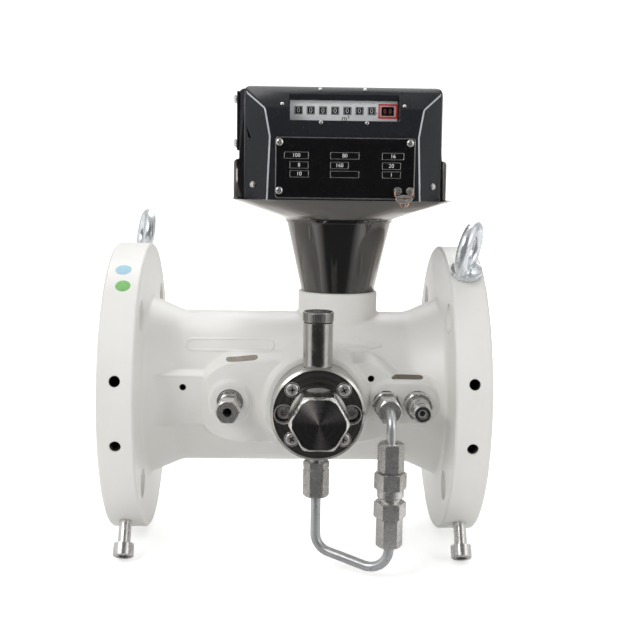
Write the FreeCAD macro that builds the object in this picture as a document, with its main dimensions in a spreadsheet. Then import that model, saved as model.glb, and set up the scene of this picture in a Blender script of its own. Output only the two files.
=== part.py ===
import FreeCAD, Part
import math
import os
import Sketcher
from FreeCAD import Placement, Rotation, Vector

# Gas turbine flow meter, DN 80, flanged, with a mechanical index head and a hand-operated oil pump.
# Frame: origin at the centre of the inlet face, +X along the flow, +Z up, the index looks towards -Y.

SIZES = {
    # pressure housing
    "face_to_face": 240.0, "raised_face": 1.6, "raised_face_radius": 63.5,
    "flange_radius": 95.25, "flange_rim": 22.3, "flange_edge": 1.0,
    "bolt_circle_share": 0.8, "bolt_hole_radius": 9.525,
    "bore_radius": 38.95, "tube_radius": 50.3, "neck_radius": 57.5, "neck_length": 22.0,
    "neck_fillet": 5.0, "pad_face": 54.0, "block_x": 124.3, "pad_half_height": 15.5, "block_face": 56.5,
    "block_half_length": 48.0, "block_half_height": 25.0, "block_corner": 14.0,
    "boss_face": 60.0, "test_x": 79.4, "test_boss_radius": 12.4,
    "feed_x": 177.6, "coupling_x": 197.0, "oil_boss_radius": 12.6, "fitting_z": 0.6,
    "fitting_seat_radius": 8.2, "fitting_seat_depth": 5.0, "fitting_thread_radius": 5.0,
    "fitting_thread_depth": 12.0,
    "rim_thread_radius": 3.4, "rim_thread_depth": 14.0, "rim_thread_angle": 12.0,
    "small_thread_radius": 2.1, "small_thread_depth": 7.0, "stamp_length": 20.0,
    "stamp_height": 2.4, "pump_pocket_radius": 11.0, "pump_pocket_depth": 10.0,
    "mount_thread_radius": 2.5, "mount_thread_depth": 14.0,
    # index tower
    "index_x": 148.6, "tower_radius": 26.4, "tower_top": 65.3,
    "cavity_radius": 21.6, "cavity_floor": 50.5,
    # measuring unit
    "sleeve_radius": 38.8, "annulus_radius": 37.2, "hub_radius": 26.0, "hub_wall": 3.0,
    "nose_start": 8.0, "vane_start": 36.0, "vane_thickness": 1.6, "rotor_x": 100.0,
    "rotor_width": 15.0, "rotor_gap": 1.2, "blade_tip_radius": 35.9, "blade_chord": 15.5,
    "blade_thickness": 1.2, "blade_root_angle": 33.0, "blade_tip_angle": 45.0,
    "tail_start": 178.0, "tail_length": 34.0, "tail_end_radius": 9.0, "shaft_radius": 3.0,
    "bearing_radius": 8.0, "bearing_ring": 5.0, "bearing_width": 5.0, "running_gap": 0.05,
    # gear train
    "worm_module": 1.0, "worm_wheel_teeth": 15.0, "worm_length": 18.0, "wheel_face": 4.0,
    "spur_module": 0.7, "pinion_teeth": 14.0, "gear_teeth": 18.0, "spur_face": 3.0,
    "spur_height": 52.5, "wheel_shaft_radius": 2.0, "strut_radius": 5.0,
    "magnet_radius": 11.0, "magnet_height": 5.0, "dome_wall": 1.2,
    # index head
    "head_bottom": 127.0, "head_top": 197.0, "head_seam": -14.0, "head_front": -56.0,
    "head_back": 46.0, "front_half_width": 61.8, "front_chamfer": 14.6, "head_draft": 3.0,
    "face_break": 165.6, "brow_y": -52.5, "brow_z": 183.0, "brow_top_y": -38.5,
    "rear_half_width": 66.2, "base_half_width": 69.8, "base_step": 152.0, "head_wall": 2.6,
    "head_corner": 9.0, "cone_top_radius": 34.6, "cone_foot_radius": 24.4, "cone_top": 111.5,
    "cone_wall": 2.6, "window_floor": -43.6, "window_half_width": 34.0, "window_low": 175.6,
    "window_glass_high": 188.4, "glass_thickness": 1.6, "plate_thickness": 1.0,
    "roller_radius": 8.4, "roller_width": 6.6, "roller_pitch": 7.6, "fine_roller_width": 3.0,
    "fine_roller_pitch": 3.35, "digit_window": 4.0, "counter_z": 182.2, "axle_radius": 1.5,
    "index_worm_radius": 3.7, "index_wheel_teeth": 20.0, "layshaft_gear_teeth": 30.0,
    "roller_gear_teeth": 18.0, "layshaft_z": 170.0, "axle_y": -31.8,
    # oil pump
    "pump_x": 133.8, "pump_boss_radius": 31.6, "pump_boss_face": 66.0, "pump_radius": 28.6,
    "pump_body_face": 86.0, "pump_cover_face": 90.0, "pump_bore_radius": 10.0,
    "cover_screw_x": 15.6, "cover_screw_z": 15.1, "mount_screw_offset": 20.4,
    "hex_cap_flats": 31.6, "hex_cap_face": 117.0, "hex_cap_wall": 3.0, "hex_cap_collar": 17.4,
    "reservoir_y": -77.0, "reservoir_radius": 9.0, "reservoir_top": 54.2, "reservoir_cap_top": 61.0,
    "reservoir_bore": 7.4, "plunger_rod_radius": 4.0, "cap_thread_radius": 12.6,
    # oil line
    "pipe_radius": 3.0, "pipe_wall": 1.0, "nut_flats": 14.0, "nut_length": 18.0, "valve_flats": 17.0, "fitting_flats": 16.0,
    "column_y": -97.0, "column_x": 177.6, "line_low_z": -97.0,
    # lifting eyes and feet
    "thread_radius": 4.0, "eye_collar_radius": 10.0, "eye_ring_radius": 14.0,
    "eye_section_radius": 4.0, "eye_height": 18.0, "eye_angle": 60.0, "foot_angle": 56.0,
    "foot_exposed": 15.0, "foot_head_radius": 6.5, "foot_head_height": 8.0,
    "foot_engagement": 12.0, "eye_engagement": 13.0,
}

doc = FreeCAD.newDocument("turbine_meter")
sheet = doc.addObject("Spreadsheet::Sheet", "sizes")
for row, (alias, number) in enumerate(SIZES.items(), start=1):
    sheet.set("A%d" % row, alias.replace("_", " "))
    sheet.set("B%d" % row, str(number))
    sheet.setAlias("B%d" % row, alias)
doc.recompute()


class Measure:
    """A length or angle that carries its number and the sheet formula it comes from."""

    def __init__(self, formula, number):
        self.formula = formula
        self.number = number

    def __float__(self):
        return self.number

    def __add__(self, other):
        return joined(self, "+", other)

    def __radd__(self, other):
        return joined(other, "+", self)

    def __sub__(self, other):
        return joined(self, "-", other)

    def __rsub__(self, other):
        return joined(other, "-", self)

    def __mul__(self, other):
        return joined(self, "*", other)

    def __rmul__(self, other):
        return joined(other, "*", self)

    def __truediv__(self, other):
        return joined(self, "/", other)

    def __neg__(self):
        return joined(0, "-", self)


def formula_of(value):
    return value.formula if isinstance(value, Measure) else "(%r)" % float(value)


def joined(left, sign, right):
    a, b = float(left), float(right)
    number = {"+": a + b, "-": a - b, "*": a * b, "/": a / b if b else 0.0}[sign]
    return Measure("(%s %s %s)" % (formula_of(left), sign, formula_of(right)), number)


class Sizes:
    """Reads each driving dimension from the sheet by its alias."""

    def __getattr__(self, alias):
        return Measure("sizes." + alias, float(sheet.get(alias)))


d = Sizes()
ALONG_X = Rotation(Vector(0, 1, 0), 90)
ALONG_FRONT = Rotation(Vector(1, 0, 0), 90)
UPRIGHT = Rotation()
CYCLIC = Rotation(Vector(0, 1, 0), Vector(0, 0, 1), Vector(1, 0, 0), "ZXY")
DOWN = Rotation(Vector(1, 0, 0), 180)


def bind(item, name, value):
    """Ties one property of an object to the sheet, or sets a plain number."""
    if isinstance(value, Measure):
        item.setExpression(name, value.formula)
    elif name.startswith("Placement"):
        item.setExpression(name, repr(float(value)))
    else:
        setattr(item, name, value)


def place(item, spot=(0, 0, 0), turn=UPRIGHT):
    item.Placement = Placement(Vector(*[float(c) for c in spot]), turn)
    for axis, value in zip("xyz", spot):
        bind(item, "Placement.Base." + axis, value)
    return item


def add(kind, label, **values):
    item = doc.addObject(kind, label)
    item.Label = label
    for name, value in values.items():
        bind(item, name, value)
    return item


def cylinder(label, radius, height, spot=(0, 0, 0), turn=UPRIGHT):
    return place(add("Part::Cylinder", label, Radius=radius, Height=height), spot, turn)


def box(label, size, spot=(0, 0, 0), turn=UPRIGHT):
    item = add("Part::Box", label, Length=size[0], Width=size[1], Height=size[2])
    return place(item, spot, turn)


def hexagon(label, flats, height, spot=(0, 0, 0), turn=UPRIGHT):
    radius = flats * (1 / math.sqrt(3))
    item = add("Part::Prism", label, Circumradius=radius, Height=height)
    item.Polygon = 6
    return place(item, spot, turn)


def fuse(label, parts):
    item = doc.addObject("Part::MultiFuse", label)
    item.Label = label
    item.Shapes = parts
    item.Refine = True
    return item


def cut(label, base, tools):
    item = doc.addObject("Part::Cut", label)
    item.Label = label
    item.Base = base
    item.Tool = tools[0] if len(tools) == 1 else fuse(label + "_tools", tools)
    return item


def common(label, first, second):
    item = doc.addObject("Part::Common", label)
    item.Label = label
    item.Base = first
    item.Tool = second
    return item


def group(label, parts):
    """Identical loose pieces kept as separate solids under one name."""
    item = doc.addObject("Part::Compound", label)
    item.Label = label
    item.Links = parts
    return item


def outline_sketch(body, label, plane_role, points):
    """Closed outline of straight edges and arcs, every corner tied to the sheet.

    A point is (across, along) or (across, along, radius): the edge that arrives at it is
    then an arc, bulging to its left for a positive radius and to its right for a negative one."""
    sketch = body.newObject("Sketcher::SketchObject", label)
    plane = [f for f in body.Origin.OriginFeatures if f.Role == plane_role][0]
    sketch.AttachmentSupport = [(plane, "")]
    sketch.MapMode = "FlatFace"
    corners = [Vector(float(p[0]), float(p[1]), 0) for p in points]
    count = len(points)
    ends = []
    for i in range(count):
        start, end = corners[i - 1], corners[i]
        if len(points[i]) == 2:
            sketch.addGeometry(Part.LineSegment(start, end), False)
            ends.append((1, 2))
            continue
        radius = abs(float(points[i][2]))
        bulges_left = float(points[i][2]) > 0
        first, last = (end, start) if bulges_left else (start, end)
        chord = last - first
        rise = math.sqrt(max(radius * radius - chord.Length ** 2 / 4, 0))
        side = Vector(-chord.y, chord.x, 0).normalize()
        centre = (first + last) * 0.5 + side * rise
        angles = [math.atan2(p.y - centre.y, p.x - centre.x) for p in (first, last)]
        if angles[1] < angles[0]:
            angles[1] += 2 * math.pi
        circle = Part.Circle(centre, Vector(0, 0, 1), radius)
        sketch.addGeometry(Part.ArcOfCircle(circle, angles[0], angles[1]), False)
        ends.append((2, 1) if bulges_left else (1, 2))
    for i in range(count):
        following = (i + 1) % count
        sketch.addConstraint(Sketcher.Constraint("Coincident", i, ends[i][1], following, ends[following][0]))
        for kind, value in (("DistanceX", points[i][0]), ("DistanceY", points[i][1])):
            if float(value) == 0 and not isinstance(value, Measure):
                line = -2 if kind == "DistanceX" else -1
                sketch.addConstraint(Sketcher.Constraint("PointOnObject", i, ends[i][1], line))
                continue
            index = sketch.addConstraint(
                Sketcher.Constraint(kind, -1, 1, i, ends[i][1], float(value)))
            if isinstance(value, Measure):
                sketch.setExpression("Constraints[%d]" % index, value.formula)
        if len(points[i]) == 3:
            index = sketch.addConstraint(Sketcher.Constraint("Radius", i, abs(float(points[i][2]))))
            if isinstance(points[i][2], Measure):
                sign = "" if float(points[i][2]) > 0 else "-"
                sketch.setExpression("Constraints[%d]" % index, sign + points[i][2].formula)
    return sketch


def turned(label, points, spot=(0, 0, 0), turn=UPRIGHT):
    """Body of revolution about its own Z: points are (radius, height)."""
    body = doc.addObject("PartDesign::Body", label)
    body.Label = label
    sketch = outline_sketch(body, label + "_outline", "XZ_Plane", points)
    spin = body.newObject("PartDesign::Revolution", label + "_turned")
    spin.Profile = sketch
    spin.ReferenceAxis = (sketch, ["V_Axis"])
    spin.Angle = 360
    return place(body, spot, turn)


def tube_outline(outer, inner, low, high, edge=0.4):
    """Outline of a plain sleeve with broken outer edges."""
    return [(inner, low), (outer - edge, low), (outer, low + edge), (outer, high - edge),
            (outer - edge, high), (inner, high)]


def rounded(half_across, half_along, corner):
    """Outline of a rectangle with round corners, centred on the origin."""
    a, b, c = half_across, half_along, corner
    return [(c - a, 0 - b, -c), (a - c, 0 - b), (a, c - b, -c), (a, b - c), (a - c, b, -c),
            (c - a, b), (0 - a, b - c, -c), (0 - a, c - b)]


def rod_outline(radius, low, high, edge=0.3):
    return [(0, low), (radius - edge, low), (radius, low + edge), (radius, high - edge),
            (radius - edge, high), (0, high)]


def padded(label, plane_role, points, length, spot=(0, 0, 0), turn=UPRIGHT, taper=None, middle=False):
    """Body made by padding a closed outline away from one of its origin planes."""
    body = doc.addObject("PartDesign::Body", label)
    body.Label = label
    sketch = outline_sketch(body, label + "_outline", plane_role, points)
    pad = body.newObject("PartDesign::Pad", label + "_pad")
    pad.Profile = sketch
    bind(pad, "Length", length)
    if middle:
        pad.Midplane = True
    if taper is not None:
        bind(pad, "TaperAngle", taper)
    return place(body, spot, turn)


def feature(label, shape, spot=(0, 0, 0), turn=UPRIGHT):
    """Free form made with Part's own functions; the sizes in it come from the sheet."""
    item = doc.addObject("Part::Feature", label)
    item.Label = label
    item.Shape = shape
    return place(item, spot, turn)


def hex_nut(label, flats, length, bore, spot, turn, edge=1.0):
    """Hexagon with both ends chamfered like a turned nut, and a hole along it."""
    corner = flats * (1 / math.sqrt(3))
    blank = hexagon(label + "_hex", flats, length)
    envelope = turned(label + "_envelope", [
        (bore, 0), (corner - edge, 0), (corner, edge * 0.6), (corner, length - edge * 0.6),
        (corner - edge, length), (bore, length)])
    return place(common(label, blank, envelope), spot, turn)


def cosine(angle):
    return Measure("cos(%s)" % formula_of(angle), math.cos(math.radians(float(angle))))


def sine(angle):
    return Measure("sin(%s)" % formula_of(angle), math.sin(math.radians(float(angle))))


def root(value):
    return Measure("sqrt(%s)" % formula_of(value), math.sqrt(float(value)))


def ring_spot(radius, angle, x):
    """Point on a circle about the pipe axis; 0 degrees looks at the front, 90 up."""
    return (x, 0 - radius * cosine(angle), radius * sine(angle))


def outward(angle_degrees):
    """Turn that points a local Z axis away from the pipe axis at this angle."""
    return Rotation(Vector(1, 0, 0), 90 - float(angle_degrees))


# ---------------------------------------------------------------- pressure housing
LENGTH = d.face_to_face
RIM_END = d.raised_face + d.flange_rim
NECK_END = RIM_END + d.neck_length
RIM_MIDDLE = d.raised_face + d.flange_rim / 2
FLANGE_MIDDLES = {"inlet": RIM_MIDDLE, "outlet": LENGTH - RIM_MIDDLE}
NECK_CURVE = 32.0
OVERRUN = 1.0


def housing_shell():
    fillet = d.neck_fillet
    inlet = [(d.bore_radius, 0), (d.raised_face_radius, 0), (d.raised_face_radius, d.raised_face),
             (d.flange_radius - d.flange_edge, d.raised_face),
             (d.flange_radius, d.raised_face + d.flange_edge),
             (d.flange_radius, RIM_END - d.flange_edge), (d.flange_radius - d.flange_edge, RIM_END),
             (d.neck_radius + fillet, RIM_END), (d.neck_radius, RIM_END + fillet, fillet),
             (d.tube_radius, NECK_END, NECK_CURVE)]
    outlet = [(d.tube_radius, LENGTH - NECK_END), (d.neck_radius, LENGTH - RIM_END - fillet, NECK_CURVE),
              (d.neck_radius + fillet, LENGTH - RIM_END, fillet),
              (d.flange_radius - d.flange_edge, LENGTH - RIM_END),
              (d.flange_radius, LENGTH - RIM_END + d.flange_edge),
              (d.flange_radius, LENGTH - d.raised_face - d.flange_edge),
              (d.flange_radius - d.flange_edge, LENGTH - d.raised_face),
              (d.raised_face_radius, LENGTH - d.raised_face), (d.raised_face_radius, LENGTH),
              (d.bore_radius, LENGTH)]
    return turned("housing_shell", inlet + outlet, turn=ALONG_X)


def front_pads():
    """Flat bands and bosses on the front of the tube, all reaching back into its wall."""
    back = d.bore_radius - 4
    fz = d.fitting_z
    pad = box("pad", (LENGTH - 2 * RIM_END + 8, d.pad_face - back, 2 * d.pad_half_height),
              (RIM_END - 4, 0 - d.pad_face, 0 - d.pad_half_height))
    block = padded("block", "XZ_Plane",
                   rounded(d.block_half_length, d.block_half_height, d.block_corner),
                   d.block_face - back, (d.block_x, 0 - back, 0))
    pump_boss = cylinder("pump_boss", d.pump_boss_radius, d.pump_boss_face - back,
                         (d.pump_x, 0 - back, 0), ALONG_FRONT)
    test_boss = cylinder("test_boss", d.test_boss_radius, d.boss_face - back,
                         (d.test_x, 0 - back, fz), ALONG_FRONT)
    oil_half = (d.coupling_x - d.feed_x) / 2 + d.oil_boss_radius - 1.5
    oil_boss = padded("oil_boss", "XZ_Plane",
                      rounded(oil_half, d.oil_boss_radius, d.oil_boss_radius - 1),
                      d.boss_face - back, ((d.coupling_x + d.feed_x) / 2 + 1.5, 0 - back, fz))
    return [pad, block, pump_boss, test_boss, oil_boss]


def front_cuts():
    """Recessed fitting seats with their threads, small plugged threads and two stamped flats."""
    cuts = []
    for name, x in (("test", d.test_x), ("feed", d.feed_x), ("coupling", d.coupling_x)):
        cuts.append(cylinder(name + "_seat", d.fitting_seat_radius, d.fitting_seat_depth + 1,
                             (x, d.fitting_seat_depth - d.boss_face, d.fitting_z), ALONG_FRONT))
        cuts.append(cylinder(name + "_thread", d.fitting_thread_radius, d.fitting_thread_depth,
                             (x, d.fitting_thread_depth - d.boss_face, d.fitting_z), ALONG_FRONT))
    for name, x, face, z in (("left", 49.4, d.pad_face, 8.6), ("right", 168.0, d.block_face, 15.6)):
        cuts.append(cylinder(name + "_small_thread", d.small_thread_radius, d.small_thread_depth + 1,
                             (x, d.small_thread_depth - face, z), ALONG_FRONT))
    for name, x, z in (("left", 77.0, 27.7), ("right", 180.8, 17.8)):
        surface = root(d.tube_radius * d.tube_radius - z * z)
        cuts.append(box(name + "_stamped_flat", (d.stamp_length, 4.0, d.stamp_height),
                        (x, 0 - surface - 3.6, z - d.stamp_height / 2)))
    depth = d.pump_pocket_depth
    cuts.append(cylinder("pump_pocket", d.pump_pocket_radius, depth + 1,
                         (d.pump_x, depth - d.pump_boss_face, 0), ALONG_FRONT))
    for side in (-1, 1):
        cuts.append(cylinder("pump_screw_hole", d.mount_thread_radius, d.mount_thread_depth,
                             (d.pump_x + side * d.mount_screw_offset,
                              d.mount_thread_depth - d.pump_boss_face, 0), ALONG_FRONT))
    return cuts


def flange_cuts():
    """Bolt holes, the small threads in the rims, and the threads of the eyes and feet."""
    cuts = []
    hole_length = RIM_END + d.neck_fillet + 2 * OVERRUN
    hole_start = {"inlet": 0 - OVERRUN, "outlet": LENGTH + OVERRUN - hole_length}
    for end, start in hole_start.items():
        for angle in (45, 135, 225, 315):
            spot = ring_spot(d.flange_radius * d.bolt_circle_share, angle, start)
            cuts.append(cylinder(end + "_bolt_hole", d.bolt_hole_radius, hole_length, spot, ALONG_X))
        for angle in (d.rim_thread_angle, 0 - d.rim_thread_angle):
            cuts.append(rim_hole(end + "_rim_thread", d.rim_thread_radius, d.rim_thread_depth, end, angle))
        for angle in (0 - d.foot_angle, d.foot_angle - 180):
            cuts.append(rim_hole(end + "_foot_thread", d.thread_radius, d.foot_engagement, end, angle))
    cuts.append(rim_hole("inlet_eye_thread", d.thread_radius, d.eye_engagement, "inlet", 180 - d.eye_angle))
    cuts.append(rim_hole("outlet_eye_thread", d.thread_radius, d.eye_engagement, "outlet", d.eye_angle))
    return cuts


def rim_hole(label, radius, depth, end, angle):
    spot = ring_spot(d.flange_radius - depth, angle, FLANGE_MIDDLES[end])
    return place_radial(cylinder(label, radius, depth + 2 * OVERRUN), spot, angle)


def place_radial(item, spot, angle):
    """Puts a piece at a spot with its local Z pointing away from the pipe axis."""
    place(item, spot, outward(angle))
    tilt = 90 - angle
    if isinstance(tilt, Measure):
        item.setExpression("Placement.Rotation.Angle", tilt.formula)
    return item


def meter_housing():
    root_z = d.bore_radius - 9.0
    tower = turned("tower", [(0, root_z), (d.tower_radius, root_z), (d.tower_radius, d.tower_top - 0.8),
                             (d.tower_radius - 0.8, d.tower_top), (0, d.tower_top)], (d.index_x, 0, 0))
    solid = fuse("housing_solid", [housing_shell(), tower] + front_pads())
    bore = cylinder("bore", d.bore_radius, LENGTH + 2 * OVERRUN, (0 - OVERRUN, 0, 0), ALONG_X)
    cavity = cylinder("tower_cavity", d.cavity_radius, d.tower_top - d.cavity_floor + OVERRUN,
                      (d.index_x, 0, d.cavity_floor))
    guide = cylinder("guide_hole", d.strut_radius, d.cavity_floor - root_z + OVERRUN,
                     (d.index_x, GEAR_OFFSET, root_z))
    pivot = cylinder("pivot_hole", d.wheel_shaft_radius + d.running_gap, 4,
                     (d.index_x, 0, d.cavity_floor - 3.5))
    return cut("meter_housing", solid, [bore, cavity, guide, pivot] + front_cuts() + flange_cuts())


# ---------------------------------------------------------------- measuring unit
GEAR_OFFSET = d.spur_module * (d.pinion_teeth + d.gear_teeth) / 2
ROTOR_START = d.rotor_x - d.rotor_width / 2
ROTOR_END = d.rotor_x + d.rotor_width / 2
GUIDE_END = ROTOR_START - d.rotor_gap
HUB_START = ROTOR_END + d.rotor_gap
HUB_BORE = d.hub_radius - d.hub_wall


def vanes(label, count, first_angle, start, length, thickness):
    """Flat radial guide vanes that reach a little into the hub and the sleeve."""
    plates = []
    for i in range(count):
        plate = box(label, (length, thickness, d.annulus_radius - d.hub_radius + 1.0))
        angle = math.radians(first_angle + i * 360.0 / count)
        inner = d.hub_radius - 0.5
        spot = (start, inner * -math.cos(angle) - thickness / 2 * math.sin(angle),
                inner * math.sin(angle) - thickness / 2 * math.cos(angle))
        place(plate, spot, outward(math.degrees(angle)))
        plates.append(plate)
    return plates


def flow_straightener():
    sleeve = turned("straightener_sleeve",
                    tube_outline(d.sleeve_radius, d.annulus_radius, d.vane_start - 6, ROTOR_START - 0.3),
                    turn=ALONG_X)
    wall = GUIDE_END - d.bearing_width - 2
    hub = turned("straightener_hub", [
        (HUB_BORE, d.vane_start), (d.hub_radius, d.vane_start), (d.hub_radius, GUIDE_END),
        (d.bearing_radius, GUIDE_END), (d.bearing_radius, wall + 2), (d.bearing_ring, wall + 2),
        (d.bearing_ring, wall), (HUB_BORE, wall)], turn=ALONG_X)
    plates = vanes("straightener_vane", 8, 22.5, d.vane_start + 2, 44, d.vane_thickness)
    return fuse("flow_straightener", [sleeve, hub] + plates)


def nose_cone():
    plug = HUB_BORE - 0.1
    return turned("nose_cone", [(0, d.nose_start), (d.hub_radius, d.vane_start, -27.5),
                                (plug, d.vane_start), (plug, d.vane_start + 6), (0, d.vane_start + 6)],
                  turn=ALONG_X)


def measuring_cartridge():
    end = d.tail_start
    sleeve = turned("cartridge_sleeve",
                    tube_outline(d.sleeve_radius, d.annulus_radius, ROTOR_START, end), turn=ALONG_X)
    hub = turned("cartridge_hub", [
        (d.shaft_radius + 1.5, HUB_START), (d.hub_radius, HUB_START), (d.hub_radius, end), (HUB_BORE, end),
        (HUB_BORE, HUB_START + 3), (d.shaft_radius + 1.5, HUB_START + 3)], turn=ALONG_X)
    plates = vanes("cartridge_vane", 6, 0.0, HUB_START + 5, 58, 2.2)
    pillar = cylinder("wheel_pillar", 4.0, 17.0, (d.index_x, GEAR_OFFSET, -22.0))
    solid = fuse("cartridge_solid", [sleeve, hub, pillar] + plates)
    guide = cylinder("cartridge_guide_hole", d.strut_radius, 40, (d.index_x, GEAR_OFFSET, 8))
    socket = cylinder("wheel_socket", d.wheel_shaft_radius + d.running_gap, 6,
                      (d.index_x, GEAR_OFFSET, -10.0))
    return cut("measuring_cartridge", solid, [guide, socket])


def tail_cone():
    start = d.tail_start
    plug = HUB_BORE - 0.1
    seat = REAR_BEARING
    return turned("tail_cone", [
        (d.bearing_radius, seat), (plug - 6, seat), (plug, seat + 6), (plug, start), (d.hub_radius, start),
        (d.tail_end_radius, start + d.tail_length, -70.0), (d.tail_end_radius - 4, start + d.tail_length + 2),
        (0, start + d.tail_length + 2), (0, seat + d.bearing_width + 4),
        (d.bearing_ring, seat + d.bearing_width + 4), (d.bearing_ring, seat + d.bearing_width),
        (d.bearing_radius, seat + d.bearing_width)], turn=ALONG_X)


FRONT_BEARING = GUIDE_END - d.bearing_width
REAR_BEARING = d.tail_start - 14


def bearing_shells():
    shells = [turned("bearing_shell", tube_outline(d.bearing_radius, d.bearing_ring + d.running_gap, 0,
                                                   d.bearing_width, 0.3), (x, 0, 0), ALONG_X)
              for x in (FRONT_BEARING, REAR_BEARING)]
    return group("bearing_shells", shells)


def bearing_inner_rings():
    rings = [turned("bearing_inner", tube_outline(d.bearing_ring, d.shaft_radius, 0, d.bearing_width, 0.2),
                    (x, 0, 0), ALONG_X) for x in (FRONT_BEARING, REAR_BEARING)]
    return group("bearing_inner_rings", rings)


def rotor_wheel():
    """Hub with a thin web, and twisted blades set at a steeper angle towards their tips."""
    half = d.rotor_width / 2
    rim, boss, web = HUB_BORE - 0.5, 7.0, 2.0
    hub = turned("rotor_hub", [
        (d.shaft_radius, 0 - half), (boss, 0 - half), (boss, 0 - web), (rim, 0 - web), (rim, 0 - half),
        (d.hub_radius, 0 - half), (d.hub_radius, half), (rim, half), (rim, web), (boss, web), (boss, half),
        (d.shaft_radius, half)], (d.rotor_x, 0, 0), ALONG_X)
    blade = blade_shape()
    blades = []
    for i in range(BLADE_COUNT):
        turn = Rotation(Vector(1, 0, 0), i * 360.0 / BLADE_COUNT)
        blades.append(feature("blade", blade, (d.rotor_x, 0, 0), turn))
    return fuse("rotor_wheel", [hub] + blades)


BLADE_COUNT = 16


def blade_shape():
    """One blade pointing up, lofted between a root section and a tip section."""
    sections = []
    for radius, angle in ((float(d.hub_radius) - 1.6, d.blade_root_angle),
                          (float(d.blade_tip_radius), d.blade_tip_angle)):
        lean = math.radians(float(angle))
        half = float(d.blade_chord) / 2
        thick = float(d.blade_thickness) / 2
        corners = []
        for along, across in ((-half, -0.25), (-half * 0.4, -thick), (half * 0.4, -thick), (half, -0.25),
                              (half, 0.25), (half * 0.4, thick), (-half * 0.4, thick), (-half, 0.25)):
            x = along * math.cos(lean) - across * math.sin(lean)
            y = along * math.sin(lean) + across * math.cos(lean)
            corners.append(Vector(x, y, radius))
        sections.append(Part.makePolygon(corners + corners[:1]))
    return Part.makeLoft(sections, True, True)


def rotor_shaft():
    """Shaft with a neck that carries the worm between the two bearings."""
    low, high = FRONT_BEARING - 2, REAR_BEARING + d.bearing_width + 2
    start, end = d.index_x - d.worm_length / 2, d.index_x + d.worm_length / 2
    neck = d.shaft_radius - 0.9
    return turned("rotor_shaft", [
        (0, low), (d.shaft_radius - 0.3, low), (d.shaft_radius, low + 0.3), (d.shaft_radius, start),
        (neck, start), (neck, end), (d.shaft_radius, end), (d.shaft_radius, high - 0.3),
        (d.shaft_radius - 0.3, high), (0, high)], turn=ALONG_X)


# ---------------------------------------------------------------- gear train
WHEEL_RADIUS = d.worm_module * d.worm_wheel_teeth / 2
WORM_RADIUS = GEAR_OFFSET - WHEEL_RADIUS
INDEX_WHEEL_RADIUS = d.worm_module * d.index_wheel_teeth / 2


def worm_shape(radius, module, length, bore):
    """Right-handed single-start worm along Z, its thread crest facing +X at mid-length."""
    lead = math.pi * module
    turns_each_way = math.floor(length / 2 / lead - 0.3)
    height = 2 * turns_each_way * lead
    root_radius = radius - 1.15 * module
    tip = radius + module
    helix = Part.makeHelix(lead, height, root_radius)
    foot = root_radius - 0.3
    profile = Part.makePolygon([Vector(foot, 0, -0.62 * module), Vector(tip, 0, -0.24 * module),
                                Vector(tip, 0, 0.24 * module), Vector(foot, 0, 0.62 * module),
                                Vector(foot, 0, -0.62 * module)])
    thread = Part.Wire(helix).makePipeShell([profile], True, True)
    thread.translate(Vector(0, 0, -height / 2))
    core = Part.makeCylinder(root_radius, length, Vector(0, 0, -length / 2))
    hole = Part.makeCylinder(bore, length + 2, Vector(0, 0, -length / 2 - 1))
    return core.fuse(thread).cut(hole)


def gear_outline(teeth, module, backlash, first_angle):
    """Corner points of a spur gear with straight-sided approximations of involute teeth."""
    pitch = teeth * module / 2.0
    base = pitch * math.cos(math.radians(20))
    involute = math.tan(math.radians(20)) - math.radians(20)
    half_pitch = math.pi / (2 * teeth) - backlash / (2 * pitch)
    flank = []
    for radius in (pitch - 1.2 * module, pitch - 0.5 * module, pitch, pitch + 0.95 * module):
        pressure = math.acos(min(1.0, base / radius))
        flank.append((radius, half_pitch + involute - (math.tan(pressure) - pressure)))
    points = []
    for i in range(int(teeth)):
        centre = math.radians(first_angle) + i * 2 * math.pi / teeth
        for sign in (-1, 1):
            for radius, half in (flank if sign < 0 else reversed(flank)):
                angle = centre + sign * half
                points.append(Vector(radius * math.cos(angle), radius * math.sin(angle), 0))
    return points


def gear_shape(teeth, module, face, bore, first_angle=0.0, start=0.0, backlash=0.12):
    points = gear_outline(float(teeth), float(module), backlash, first_angle)
    points = [point + Vector(0, 0, start) for point in points]
    flat = Part.Face(Part.makePolygon(points + points[:1]))
    solid = flat.extrude(Vector(0, 0, float(face)))
    return solid.cut(Part.makeCylinder(float(bore), float(face) + 2, Vector(0, 0, start - 1)))


def drive_worm():
    shape = worm_shape(float(WORM_RADIUS), float(d.worm_module), float(d.worm_length), float(d.shaft_radius - 0.9))
    return feature("drive_worm", shape, (d.index_x, 0, 0), CYCLIC)


def worm_wheel():
    teeth = d.worm_wheel_teeth
    shape = gear_shape(teeth, d.worm_module, d.wheel_face, d.wheel_shaft_radius, 180.0 / float(teeth) - 90)
    return feature("worm_wheel", shape, (d.index_x, GEAR_OFFSET, 0 - d.wheel_face / 2))


def wheel_shaft():
    rod = turned("wheel_rod", rod_outline(d.wheel_shaft_radius, -8.5, d.spur_height + d.spur_face + 1.6),
                 (d.index_x, GEAR_OFFSET, 0))
    teeth = d.pinion_teeth
    shape = gear_shape(teeth, d.spur_module, d.spur_face, float(d.wheel_shaft_radius) - 0.5,
                       180.0 / float(teeth) - 90)
    pinion = feature("pinion", shape, (d.index_x, GEAR_OFFSET, d.spur_height))
    return fuse("wheel_shaft", [rod, pinion])


def shaft_guide_tube():
    top = d.cavity_floor
    return turned("shaft_guide_tube", [
        (d.wheel_shaft_radius + d.running_gap, 7.0), (d.strut_radius, 7.0), (d.strut_radius, top),
        (d.strut_radius + 0.9, top), (d.strut_radius + 0.9, top + 1.0), (d.wheel_shaft_radius + d.running_gap, top + 1.0)],
        (d.index_x, GEAR_OFFSET, 0))


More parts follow.
